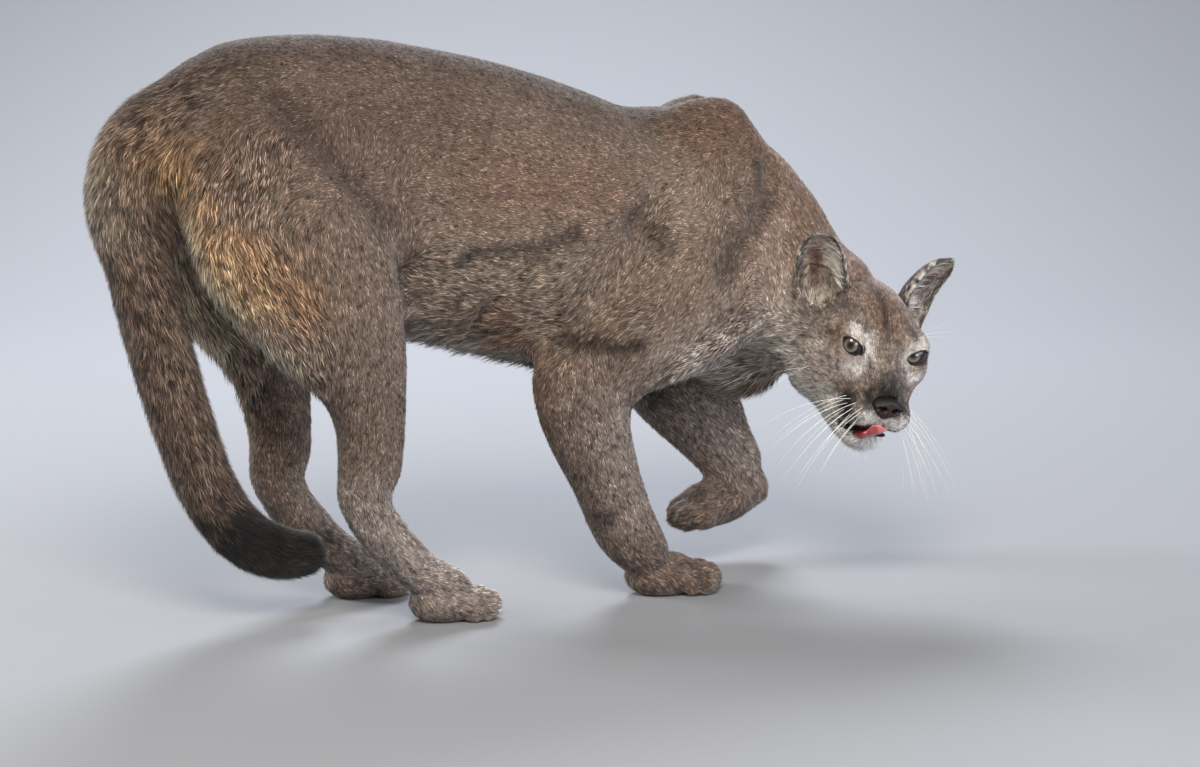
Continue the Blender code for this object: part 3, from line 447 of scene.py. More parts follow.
def copies(names):
    """Merged copies of CAD nodes, joined into one object."""
    made = []
    for name in names:
        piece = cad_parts[name].copy()
        piece.data = piece.data.copy()
        piece.parent = None
        for key in list(piece.keys()):
            del piece[key]
        bpy.context.scene.collection.objects.link(piece)
        made.append(piece)
    activate(*made)
    if len(made) > 1:
        bpy.ops.object.join()
    piece = bpy.context.view_layer.objects.active
    bpy.ops.object.mode_set(mode="EDIT")
    bpy.ops.mesh.select_all(action="SELECT")
    bpy.ops.mesh.remove_doubles(threshold=0.00004)
    bpy.ops.object.mode_set(mode="OBJECT")
    piece.data.materials.clear()
    return piece


def settled(piece, name, slot, material, *nodes):
    """Name a finished piece, dress it and let it ride and stand for its nodes."""
    piece.name = name
    piece.data.name = name
    piece.data.materials.clear()
    piece.data.materials.append(material)
    piece.data.shade_smooth()
    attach(piece, "root")
    if nodes:
        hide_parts(*nodes)


def mesh_from_arrays(name, verts, faces):
    """An object from arrays of points and of triangles or quads."""
    faces = np.asarray(faces, np.int32)
    corners = faces.shape[1]
    mesh = bpy.data.meshes.new(name)
    mesh.vertices.add(len(verts))
    mesh.vertices.foreach_set("co", np.asarray(verts, np.float32).ravel())
    mesh.loops.add(faces.size)
    mesh.loops.foreach_set("vertex_index", faces.ravel())
    mesh.polygons.add(len(faces))
    starts = np.arange(0, faces.size, corners, dtype=np.int32)
    mesh.polygons.foreach_set("loop_start", starts)
    mesh.update(calc_edges=True)
    piece = bpy.data.objects.new(name, mesh)
    bpy.context.scene.collection.objects.link(piece)
    return piece


def points_of(piece):
    """A piece's points."""
    co = np.empty(len(piece.data.vertices) * 3, np.float32)
    piece.data.vertices.foreach_get("co", co)
    return co.reshape(-1, 3).astype(float)


def normals_of(piece):
    """The normals at a piece's points."""
    out = np.empty(len(piece.data.vertices) * 3, np.float32)
    piece.data.vertex_normals.foreach_get("vector", out)
    return out.reshape(-1, 3).astype(float)


def triangles_of(piece):
    """A piece's faces as triangles."""
    piece.data.calc_loop_triangles()
    out = np.empty(len(piece.data.loop_triangles) * 3, np.int32)
    piece.data.loop_triangles.foreach_get("vertices", out)
    return out.reshape(-1, 3)


def move_to(piece, points):
    """Move a piece's points."""
    piece.data.vertices.foreach_set("co", np.asarray(points, np.float32).ravel())
    piece.data.update()


def paint(piece, name, colours):
    """A colour attribute on the points."""
    layer = piece.data.attributes.new(name, "FLOAT_COLOR", "POINT")
    full = np.ones((len(colours), 4), np.float32)
    full[:, :3] = np.clip(colours, 0, 0.95)
    layer.data.foreach_set("color", full.ravel())


def unit(vectors):
    """The vectors at length 1."""
    return vectors / np.maximum(np.linalg.norm(vectors, axis=-1, keepdims=True), 1e-12)


def flattened(way, up):
    """Directions laid flat on a surface, at length 1."""
    return unit(way - up * np.sum(way * up, axis=1, keepdims=True))


def eased(values, low, high):
    """0 below low, 1 above high and a smooth step between."""
    part = np.clip((values - low) / (high - low), 0, 1)
    return part * part * (3 - 2 * part)


def cloud(points, size, seed):
    """Smooth seeded noise from -1 to 1 with lumps of that size."""
    cells = 32
    grid = np.random.default_rng(seed).uniform(-1, 1, (cells, cells, cells))
    at = np.asarray(points) / size
    base = np.floor(at).astype(int)
    part = at - base
    part = part * part * (3 - 2 * part)
    total = np.zeros(len(at))
    for corner in range(8):
        step = np.array([(corner >> k) & 1 for k in range(3)])
        share = np.prod(np.where(step, part, 1 - part), axis=1)
        total += share * grid[tuple(((base + step) % cells).T)]
    return total * 1.6          # the mean of eight corners is weaker than one corner


def own_axes(points, axes, mirrored):
    """Points on the axes that a line of the cat's plan is written on."""
    own = to_head(points) if axes == "head" else to_stance(points)
    if axes == "ground":
        own[:, 2] = np.where(own[:, 2] < FOOT_TOP, 0.0, 1.0)
    if mirrored == 1:
        own[:, 1] = np.abs(own[:, 1])
    elif mirrored == -1:
        own = own * np.array([1.0, -1.0, 1.0])
    return own


def run_distance(points, run):
    """Distance to a run of points, and the run's direction where it is nearest."""
    run = np.array(run, float)
    best = np.full(len(points), 1e9)
    way = np.zeros_like(points)
    for start, end in zip(run, run[1:]):
        step = end - start
        share = np.clip(((points - start) @ step) / (step @ step), 0, 1)
        gap = np.linalg.norm(points - start - share[:, None] * step, axis=1)
        near = gap < best
        best[near] = gap[near]
        way[near] = unit(step[None])
    return best, way


def surface_tree(piece):
    """A search tree over a piece's faces, on the head's axes."""
    points = to_head(points_of(piece))
    return BVHTree.FromPolygons(points.tolist(), triangles_of(piece).tolist())


# ---------------------------------------------------------------- lie, folds and markings
def lie_of_the_coat(points, normals):
    """Direction, length, spacing, width, lift and piece of the coat at each point."""
    total = np.zeros(len(points))
    way = np.zeros_like(points)
    measures = np.zeros((len(points), 4))
    best = np.zeros(len(points))
    part = np.zeros(len(points), int)
    names = sorted({row[0] for row in LIE})
    for name, axes, mirrored, radius, length, spacing, width, lift, run in LIE:
        own = own_axes(points, axes, mirrored)
        gap, step = run_distance(own, run)
        gap = np.maximum(gap - radius / 1000, 0.0) + SOFT_MEETING
        weight = gap ** -4
        if axes == "head":
            outside = np.linalg.norm(own - SKULL, axis=1)
            weight *= 1 / (1 + (outside / HEAD_REACH) ** 24)
        if mirrored == 1:
            plain = to_head(points) if axes == "head" else to_stance(points)
            step[:, 1] *= np.sign(plain[:, 1])
        elif mirrored == -1:
            step[:, 1] *= -1
        if axes == "head":
            step = step @ TURN.T
        way += step * weight[:, None]
        measures += weight[:, None] * np.array([length, spacing, width, lift])
        total += weight
        found = weight > best
        best[found] = weight[found]
        part[found] = names.index(name)
    measures /= total[:, None]
    return flattened(way / total[:, None], normals), measures, np.array(names)[part]


def folded(points, normals):
    """Points pushed in along the folds."""
    moved = np.zeros(len(points))
    for axes, mirrored, wide, deep, run in FOLDS:
        gap, _ = run_distance(own_axes(points, axes, mirrored), run)
        moved += deep * MM * np.exp(-(gap / (wide * MM)) ** 2)
    return points - normals * moved[:, None]


def markings_and_painted_light(points):
    """The coat's colour at each point, linear: markings, painted shade and painted light."""
    shades = np.tile(colour("ground"), (len(points), 1))
    broad = 1 + 0.20 * cloud(points, 0.014, 5)                  # wavers of 14 mm
    ragged = broad + 0.26 * cloud(points, 0.0034, 6)            # and of 3.4 mm on the face
    for axes, mirrored, wide, strength, code, run in MARKS_AND_PAINTED_LIGHT:
        gap, _ = run_distance(own_axes(points, axes, mirrored), run)
        blur = ragged if axes == "head" else broad
        share = strength * np.exp(-(gap * blur / (wide * MM)) ** 2)
        shades += share[:, None] * (np.array(linear(code)) - shades)
    return shades


# ---------------------------------------------------------------- materials
def new_material(name, rough, specular=0.5, gloss=0.0):
    """A material and its Principled shader, with a clear coat of that weight."""
    material = bpy.data.materials.new(name)
    material.use_nodes = True
    surface = material.node_tree.nodes["Principled BSDF"]
    surface.inputs["Roughness"].default_value = rough
    surface.inputs["Specular IOR Level"].default_value = specular
    surface.inputs["Coat Weight"].default_value = gloss
    surface.inputs["Coat Roughness"].default_value = 0.08
    return material, surface


def add_node(material, kind, links=(), **settings):
    """A node with its settings; links are (own input, other node's output) pairs."""
    node = material.node_tree.nodes.new(kind)
    for key, value in settings.items():
        if key in node.inputs.keys():
            node.inputs[key].default_value = value
        else:
            setattr(node, key, value)
    for name, source in links:
        material.node_tree.links.new(source, node.inputs[name])
    return node


def join_to(material, source, target):
    """A link from an output to an input."""
    material.node_tree.links.new(source, target)


def hair_material():
    """Guard hair: keratin with a dull cuticle, combed by the cat's own tongue; the eye sees
    a matt, woolly coat with a soft pale edge against the light."""
    material, surface = new_material("guard_hair", 0.75, 0.22)
    surface.inputs["IOR"].default_value = 1.55
    surface.inputs["Sheen Weight"].default_value = 0.14
    surface.inputs["Sheen Roughness"].default_value = 0.5
    shades = add_node(material, "ShaderNodeAttribute", attribute_name="coat")
    join_to(material, shades.outputs["Color"], surface.inputs["Base Color"])
    return material


def underfur_material():
    """Underfur: fine wool 1 mm across in wisps that follow the coat's lie, drawn as short
    streaks, because a single hair of 0.05 mm is too fine to show."""
    material, surface = new_material("underfur", 0.85, 0.18)
    surface.inputs["Sheen Weight"].default_value = 0.2
    surface.inputs["Sheen Roughness"].default_value = 0.5
    shades = add_node(material, "ShaderNodeAttribute", attribute_name="coat")
    lie = add_node(material, "ShaderNodeAttribute", attribute_name="lie")
    where = add_node(material, "ShaderNodeTexCoord")
    wisp_scale = 1 / (1.1 * MM)
    total = None
    for step in (-2.6, -1.3, 0.0, 1.3, 2.6):        # millimetres along the lie
        slid = add_node(material, "ShaderNodeVectorMath", operation="MULTIPLY_ADD")
        join_to(material, lie.outputs["Vector"], slid.inputs[0])
        slid.inputs[1].default_value = (step * MM,) * 3
        join_to(material, where.outputs["Object"], slid.inputs[2])
        grain = add_node(material, "ShaderNodeTexNoise", [("Vector", slid.outputs["Vector"])],
                         Scale=wisp_scale, Detail=1.0)
        if total is None:
            total = grain.outputs["Fac"]
            continue
        both = add_node(material, "ShaderNodeMath", operation="ADD")
        join_to(material, total, both.inputs[0])
        join_to(material, grain.outputs["Fac"], both.inputs[1])
        total = both.outputs["Value"]
    reach = {"From Min": 2.1, "From Max": 2.9, "To Min": 0.45, "To Max": 1.45}
    tone = add_node(material, "ShaderNodeMapRange", [("Value", total)], **reach)
    mix = add_node(material, "ShaderNodeVectorMath", operation="MULTIPLY")
    join_to(material, shades.outputs["Color"], mix.inputs[0])
    join_to(material, tone.outputs["Result"], mix.inputs[1])
    join_to(material, mix.outputs["Vector"], surface.inputs["Base Color"])
    bump = add_node(material, "ShaderNodeBump", [("Height", tone.outputs["Result"])],
                    Strength=0.5, Distance=0.7 * MM)
    join_to(material, bump.outputs["Normal"], surface.inputs["Normal"])
    return material


def painted_skin(name, attribute, rough, specular, gloss, pebble, deep):
    """Bare skin painted by an attribute, with pebbles of that many millimetres."""
    material, surface = new_material(name, rough, specular, gloss)
    shades = add_node(material, "ShaderNodeAttribute", attribute_name=attribute)
    join_to(material, shades.outputs["Color"], surface.inputs["Base Color"])
    where = add_node(material, "ShaderNodeTexCoord")
    cells = add_node(material, "ShaderNodeTexVoronoi", [("Vector", where.outputs["Object"])],
                     Scale=1 / (pebble * MM))
    bump = add_node(material, "ShaderNodeBump", [("Height", cells.outputs["Distance"])],
                    Strength=0.55, Distance=deep * MM, invert=True)
    join_to(material, bump.outputs["Normal"], surface.inputs["Normal"])
    return material


def eyeball_material():
    """Cornea and iris: wet and very smooth, so that it mirrors the lights as one dot."""
    material, surface = new_material("wet_eyeball", 0.16, 0.5, 0.6)
    surface.inputs["IOR"].default_value = 1.376
    surface.inputs["Coat Roughness"].default_value = 0.02
    shades = add_node(material, "ShaderNodeAttribute", attribute_name="iris")
    join_to(material, shades.outputs["Color"], surface.inputs["Base Color"])
    return material


def whisker_material():
    """Whiskers: thick white keratin, smooth, with a faint gleam along each."""
    material, surface = new_material("whisker_keratin", 0.35, 0.5)
    surface.inputs["Base Color"].default_value = (*colour("whisker"), 1)
    where = add_node(material, "ShaderNodeTexCoord")
    waves = add_node(material, "ShaderNodeTexNoise", [("Vector", where.outputs["Object"])],
                     Scale=1 / (3.0 * MM))
    bump = add_node(material, "ShaderNodeBump", [("Height", waves.outputs["Fac"])],
                    Strength=0.2, Distance=0.1 * MM)
    join_to(material, bump.outputs["Normal"], surface.inputs["Normal"])
    return material


# ---------------------------------------------------------------- skin
# An ear's root and tip on the head's axes, and half its width.
EAR_ROOT, EAR_TIP = np.array([-0.062, 0.064, 0.014]), np.array([-0.078, 0.096, 0.100])
EAR_LENGTH = float(np.linalg.norm(EAR_TIP - EAR_ROOT))
EAR_HALF_WIDTH = 0.033
# The room before each ear's cup: how far up and out its middle lies, and its radii.
HOLLOW_UP, HOLLOW_OUT = 0.037, 0.004
HOLLOW_RADII = np.array([0.034, 0.025, 0.0275])


def ear_axes(side):
    """An ear's root, and its axes: to the tip, out of the cup, across it outwards."""
    flip = np.array([1.0, side, 1.0])
    along = unit((EAR_TIP - EAR_ROOT) * flip)
    opening = np.array([0.90, side * 0.42, 0.0])
    opening = unit(opening - along * (opening @ along))
    across = np.cross(along, opening)
    across = across * np.sign(across[1] * side)
    return EAR_ROOT * flip, along, opening, across


def in_ear(points, side):
    """Points on an ear's axes: up it, out of the cup, and across towards the cat's side."""
    root, along, opening, across = ear_axes(side)
    off = points - root
    return np.stack([off @ along, off @ opening, off @ across], axis=1)


def ear_room(points, side):
    """How many times the room before an ear's cup has to grow to reach each point."""
    off = in_ear(points, side) - np.array([HOLLOW_UP, HOLLOW_OUT, 0.0])
    return np.linalg.norm(off / HOLLOW_RADII, axis=1)


# The almond opening of the lids, on a plane before the eyeball's middle: half its length,
# its height above and below, and its slant in degrees.
PLANE = 0.0150
LID_LONG, LID_UPPER, LID_LOWER, LID_SLANT = 0.0215, 0.0062, 0.0080, 24.0
TEAR_DROOP = 0.0034         # how far the inner corner runs down towards the nose
LID_AXES = {-1: (1.0, -0.40, 0.10), 1: (1.0, 0.00, 0.24)}       # the lids follow the gaze


def eye_centre(side):
    """An eyeball's middle on the head's axes."""
    return np.array([EYE_BACK, side * EYE_OUT, 0.0])


def lid_axes(side):
    """Where an eye looks, and the long and the short way of its opening."""
    axis = unit(np.array(LID_AXES[side]))
    across = np.array([0, side, 0.0])
    across = unit(across - axis * (across @ axis))
    up = np.array([0, 0, 1.0]) - axis * axis[2]
    up = unit(up - across * (up @ across))
    slant = math.radians(LID_SLANT)
    long_way = across * math.cos(slant) + up * math.sin(slant)
    short_way = up * math.cos(slant) - across * math.sin(slant)
    return axis, long_way, short_way


def droop(x):
    """How far the almond sinks at that place of its long way."""
    return TEAR_DROOP * eased(-x, 0.006, 0.024)


def almond(level):
    """Half length, growth in height and bow of the almond grown to that level."""
    return LID_LONG * (1 + 0.42 * (level - 1)), level * 1.05 - 0.05, (
        0.75 - 0.25 * eased(level, 1.05, 1.5))


def lid_direction(side, angles, level):
    """Directions from the eyeball's middle to the almond, grown by a level."""
    axis, long_way, short_way = lid_axes(side)
    long, grown, bow = almond(np.array(level, float))
    x = np.cos(angles)
    tall = np.where(np.sin(angles) >= 0, LID_UPPER, -LID_LOWER) * grown
    above = tall * np.maximum(0.0, 1 - x * x) ** bow - droop(long * x)
    rows = axis * PLANE + (long * x)[:, None] * long_way + above[:, None] * short_way
    return unit(rows)


def on_almond(points, side):
    """Points on the almond's plane: its long way, its short way, and how far off they are."""
    axis, long_way, short_way = lid_axes(side)
    off = points - eye_centre(side)
    ahead = np.maximum(off @ axis, 1e-4)
    x = (off @ long_way) * PLANE / ahead
    y = (off @ short_way) * PLANE / ahead + droop(x)
    return x, y, np.where(off @ axis < 0.002, 1.0, np.linalg.norm(off, axis=1))


def lid_level(points, side):
    """How many times the almond has to grow to reach each point; far points give 9."""
    x, y, far = on_almond(points, side)
    tall = np.where(y >= 0, LID_UPPER, LID_LOWER)
    low, high = np.full(len(x), 0.06), np.full(len(x), 9.0)
    for _ in range(24):
        level = (low + high) / 2
        long, grown, bow = almond(level)
        inside = (x / long) ** 2 + (np.abs(y) / (tall * grown)) ** (1 / bow) < 1
        high = np.where(inside, level, high)
        low = np.where(inside, low, level)
    return np.minimum((low + high) / 2 + 8 * eased(far, 0.0235, 0.0350), 9.0)


def lid_shades(points, side):
    """The coat's colour round an eye, black at the edge of the lids and in the corners."""
    own = to_head(points)
    x, y, _ = on_almond(own, side)
    ragged = 0.05 * cloud(points, 0.002, 41)
    reach = 1.13 + 0.13 * eased(y, -0.001, 0.004) + ragged
    dark = 1 - eased(lid_level(own, side), reach, reach + 0.12)
    corner = (1 - eased(np.abs(y) + 0.02 * ragged, 0.0012, 0.0040)) * (
        1 - eased(np.abs(x) / LID_LONG, 1.15, 1.45))
    dark = np.maximum(dark, corner * (np.abs(x) > 0.8 * LID_LONG))[:, None]
    return markings_and_painted_light(points) * (1 - dark) + colour("lid") * dark


LID_OUT = 1.80              # level at which a lid dips under the skin
LID_BARE = 1.66             # level up to which the lid, not the skin, has the hair
LID_RISE, BEHIND_EYE = 0.0010, 0.0030       # the skin under a lid, and behind the eyeball


def sunk_round_eyes(points):
    """The skin drawn back inside the eyeballs, and under the lids that lie over it."""
    ball = sizes().eyeball
    for side in SIDES.values():
        centre = eye_centre(side)
        level = lid_level(points, side)
        off = points - centre
        far = np.linalg.norm(off, axis=1)
        lid = ball + LID_RISE
        share = eased(level, 1.05, LID_OUT)
        wanted = (ball - BEHIND_EYE) + (lid - ball + BEHIND_EYE) * eased(level, 0.85, 1.25)
        wanted = wanted * (1 - share) + far * share
        near = (level < LID_OUT) & (far > wanted)
        points = np.where(near[:, None], centre + off * (wanted / far)[:, None], points)
    return points


def opened_ears(points):
    """The skin hollowed before each ear's cup."""
    for side in SIDES.values():
        root, along, opening, _ = ear_axes(side)
        level = ear_room(points, side)
        middle_at = root + along * HOLLOW_UP + opening * HOLLOW_OUT
        near = level < 1
        grow = 1 / np.maximum(level, 0.2)
        pushed = middle_at + (points - middle_at) * grow[:, None]
        points = np.where(near[:, None], pushed, points)
    return points


class COUGAR_OT_skin(bpy.types.Operator):
    """One skin over all the flesh, folded, hollowed at the ears and parted at the lids"""
    bl_idname = "cougar.skin"
    bl_label = "Skin"
    under_hair = 0.50           # how dark the skin lies in the shade of its hair

    def execute(self, context):
        skin = copies(FLESH)
        modify(skin, "REMESH", mode="VOXEL", voxel_size=sizes().skin_grid,
               use_smooth_shade=True)
        # The large masses are smoothed calm; the face and the feet keep their forms.
        points = points_of(skin)
        away = np.linalg.norm(to_head(points) - SKULL, axis=1)
        feet = np.clip((points[:, 2] - 0.06) / 0.06, 0, 1)
        calm = np.clip((away - 0.11) / 0.06, 0, 1) * feet
        group = skin.vertex_groups.new(name="calm")
        for step in range(1, 11):
            chosen = np.where(np.round(calm * 10).astype(int) == step)[0]
            group.add(chosen.tolist(), step / 10, "REPLACE")
        modify(skin, "SMOOTH", factor=0.5, iterations=10)
        modify(skin, "SMOOTH", factor=0.5, iterations=60, vertex_group="calm")
        skin.vertex_groups.clear()
        points, normals = points_of(skin), normals_of(skin)
        _, measures, _ = lie_of_the_coat(points, normals)
        points = folded(points, normals)
        points -= normals * (measures[:, :1] * MM * DEPTH_SHARE)
        move_to(skin, from_head(opened_ears(sunk_round_eyes(to_head(points)))))
        share = sizes().skin_triangles / (2 * len(skin.data.polygons))
        modify(skin, "DECIMATE", ratio=share, use_collapse_triangulate=True)
        points = points_of(skin)
        way, _, _ = lie_of_the_coat(points, normals_of(skin))
        paint(skin, "coat", markings_and_painted_light(points) * self.under_hair)
        lie = skin.data.attributes.new("lie", "FLOAT_VECTOR", "POINT")
        lie.data.foreach_set("vector", way.astype(np.float32).ravel())
        settled(skin, "skin", "chest", underfur_material(), *FLESH)
        return {"FINISHED"}


# ---------------------------------------------------------------- eyes and lids
class COUGAR_OT_eyes(bpy.types.Operator):
    """Two eyeballs with a bulging cornea, looking the same way"""
    bl_idname = "cougar.eyes"
    bl_label = "Eyes"
    cornea = 0.0008             # how far the clear front bulges
    gaze = {-1: (0.795, -0.589, 0.141), 1: (0.836, -0.467, 0.288)}

    def execute(self, context):
        material = eyeball_material()
        ball = sizes().eyeball
        iris = math.asin(sizes().iris / ball)
        pupil = math.asin(sizes().pupil / ball)
        for name, side in SIDES.items():
            deselect()
            bpy.ops.mesh.primitive_uv_sphere_add(segments=96, ring_count=72, radius=ball)
            eye = context.active_object
            points = points_of(eye)
            turn = np.arccos(np.clip(points[:, 2] / ball, -1, 1))
            spoke = np.arctan2(points[:, 1], points[:, 0])
            bulge = self.cornea * np.clip(1 - (turn / 0.62) ** 2, 0, 1)
            look = Vector(self.gaze[side]).normalized()
            aim = Vector((0, 0, 1)).rotation_difference(look).to_matrix()
            turned = (points + unit(points) * bulge[:, None]) @ np.array(aim).T
            move_to(eye, from_head(turned + eye_centre(side)))
            self.paint_iris(eye, turn, spoke, turned, iris, pupil)
            settled(eye, f"eyeball_{name}", f"eye_{name}", material, f"eye_{name}")
        return {"FINISHED"}

    def paint_iris(self, eye, turn, spoke, turned, iris, pupil):
        """Pupil, fibres, a dark ring at the iris's edge, and shade under the upper lid."""
        fibre = 0.5 + 0.3 * np.sin(spoke * 31 + 2.5 * np.sin(spoke * 5))
        fibre += 0.2 * np.sin(spoke * 53 + 4 * np.sin(spoke * 3))
        out = eased(turn, pupil, iris)[:, None]
        shades = colour("iris_inner") * (1 - out) + colour("iris_outer") * out
        shades = shades * (0.70 + 0.45 * fibre)[:, None]
        shades *= (1 - 0.80 * eased(turn, iris - 0.10, iris))[:, None]
        high = eased(turned[:, 2], 0.0005, 0.0080)
        shades *= (1 - 0.55 * high)[:, None]
        corner = eased(turn, iris - 0.02, iris + 0.03)[:, None]
        shades = shades * (1 - corner) + colour("eye_corner") * corner
        hole = eased(turn, pupil - 0.03, pupil + 0.02)[:, None]
        paint(eye, "iris", shades * hole + 0.0015 * (1 - hole))


class COUGAR_OT_lids(bpy.types.Operator):
    """Lids: a black wet edge round each almond opening that rises into the furred skin"""
    bl_idname = "cougar.lids"
    bl_label = "Lids"
    farthest = 0.0270           # from the eyeball's middle: where a lid ends at most
    probe = 0.05                # how far out the rays that look for the skin start
    levels = (0.985, 0.99, 1.0, 1.02, 1.05, 1.1, 1.16, 1.25, 1.35, 1.5, 1.62, 1.75, 1.87, 2.0)
    around = 144

    def execute(self, context):
        # Black skin wet by the tears, pebbled 0.6 mm across, so it has a soft gleam.
        black = painted_skin("moist_lid_skin", "coat", 0.55, 0.35, 0.05, 0.6, 0.15)
        tree = surface_tree(bpy.data.objects["skin"])
        for name, side in SIDES.items():
            centre = eye_centre(side)
            angles = np.linspace(0, 2 * math.pi, self.around, endpoint=False)
            rows, backs = [], []
            for level in self.levels:
                ways = lid_direction(side, angles, level)
                far = np.array([self.skin_distance(tree, centre, way) for way in ways])
                front, back = self.heights(level, far, angles)
                rows.append(centre + ways * front[:, None])
                backs.append(centre + ways * back[:, None])
            verts = np.concatenate(rows + backs[::-1])
            lid = mesh_from_arrays("lid", from_head(verts), self.ring_faces(side))
            paint(lid, "coat", lid_shades(points_of(lid), side))
            settled(lid, f"eyelids_{name}", f"eye_{name}", black)
        return {"FINISHED"}

    def skin_distance(self, tree, centre, way):
        """How far the skin lies from the eyeball's middle."""
        hit = tree.ray_cast(Vector(centre + way * self.probe), Vector(-way), self.probe)
        far = self.probe - hit[3] if hit[0] is not None else sizes().eyeball
        return min(far, self.farthest)

    def heights(self, level, far, angles):
        """How far the front and the back of a lid lie from the eyeball's middle."""
        ball, edge = sizes().eyeball, sizes().lid_edge
        upper = np.clip(np.sin(angles), 0, 1)
        raised = ball + edge * (1 + 0.35 * upper)
        # It rises off the eyeball, blends into the skin and dives under it, level by level.
        rise = eased(np.array([level]), 0.985, 1.05)[0]
        front = (ball + 0.0001) * (1 - rise) + raised * rise
        blend = eased(np.array([level]), 1.14, 1.75)[0]
        front = front * (1 - blend) + (far + 0.0001) * blend
        dive = eased(np.array([level]), 1.68, 2.0)[0]
        front = front - 0.0016 * dive
        back = front - 0.0004 - 0.0012 * rise
        return front, back

    def ring_faces(self, side):
        """Quads round the front and, closed at the rim, back along the inside."""
        rings, around = 2 * len(self.levels), self.around
        faces = []
        for ring in range(rings):
            for k in range(around):
                one, two = ring * around, ((ring + 1) % rings) * around
                m = (k + 1) % around
                face = (one + k, one + m, two + m, two + k)
                faces.append(face if side < 0 else face[::-1])
        return faces


# ---------------------------------------------------------------- ears
class COUGAR_OT_ears(bpy.types.Operator):
    """Two ear cups: thin gristle, reddish inside, pale at the rim and dark behind"""
    bl_idname = "cougar.ears"
    bl_label = "Ears"

    def execute(self, context):
        # Thin hairless skin on gristle, pebbled 1.2 mm across and dry, so it stays matt.
        thin = painted_skin("thin_ear_skin", "coat", 0.7, 0.25, 0.0, 1.2, 0.2)
        for name, side in SIDES.items():
            ear = copies([f"ear_{name}"])
            modify(ear, "REMESH", mode="VOXEL", voxel_size=0.0013, use_smooth_shade=True)
            modify(ear, "SMOOTH", factor=0.5, iterations=10)
            # painted shade: the bare skin is painted 0.7 times as dark as the colours of its
            # down
            paint(ear, "coat", ear_colours(points_of(ear), normals_of(ear), side) * 0.7)
            settled(ear, f"ear_cup_{name}", f"ear_{name}", thin, f"ear_{name}")
        return {"FINISHED"}


def inside_cup(points, normals, side):
    """1 on the inner wall of an ear and 0 on its back, on the head's axes."""
    own = in_ear(points, side)
    _, along, opening, across = ear_axes(side)
    facing = np.stack([normals @ along, normals @ opening, normals @ across], axis=1)
    to_axis = np.stack([0 * own[:, 0], 0.012 - own[:, 1], -own[:, 2]], axis=1)
    return eased(np.sum(unit(to_axis) * facing, axis=1), -0.1, 0.3)


def rim_share(own):
    """How far in from an ear's free edge, 0 to 1 at the middle, and how far up."""
    up = np.clip(own[:, 0] / EAR_LENGTH, 0, 1)
    wide = EAR_HALF_WIDTH * (0.90 + 0.10 * np.sin(math.pi * np.minimum(1.0, up / 0.55)))
    round_tip = np.sqrt(np.clip(1 - ((up - 0.56) / 0.445) ** 2, 0.01, 1))
    wide = np.where(up > 0.56, wide * round_tip, wide)
    edge = np.clip((wide - np.abs(own[:, 2])) / wide, 0, 1)
    return edge, up


def ear_colours(points, normals, side):
    """Dark back, buff root, pale rim with painted shade inside it, and a red-brown or whitish
    cup.
    """
    head_points = to_head(points)
    own = in_ear(head_points, side)
    inner = inside_cup(head_points, normals @ TURN, side)[:, None]
    edge, up = rim_share(own)
    edge = edge + 0.06 * cloud(points, 0.004, 51)
    back = np.array(linear("#4d4642")) + 0 * own
    back = back + eased(0.35 - up, 0.0, 0.25)[:, None] * (np.array(linear("#8a6f5c")) - back)
    cup = np.array(linear("#b0a294")) + 0 * own
    deep = np.exp(-((own[:, 2] - 0.006) / 0.013) ** 2) * eased(own[:, 0], 0.010, 0.026)
    deep = (0.95 * deep * (1 - eased(up, 0.66, 0.90)))[:, None]
    cup = cup + deep * (np.array(linear("#5f4136")) - cup)
    # painted shade: a dark band just inside the rim
    dark = (eased(edge, 0.02, 0.10) * (1 - eased(edge, 0.22, 0.42)))[:, None]
    cup = cup + 0.85 * dark * (np.array(linear("#332e2b")) - cup)
    mixed = cup * inner + back * (1 - inner)
    rim = (1 - eased(edge, 0.0, 0.09))[:, None]
    return mixed + rim * (np.array(linear("#cfcac4")) - mixed)


# ---------------------------------------------------------------- nose, lips and tongue
NOSE_AT, NOSE_RADII = np.array([0.0530, 0, -0.0485]), np.array([0.0134, 0.0196, 0.0140])


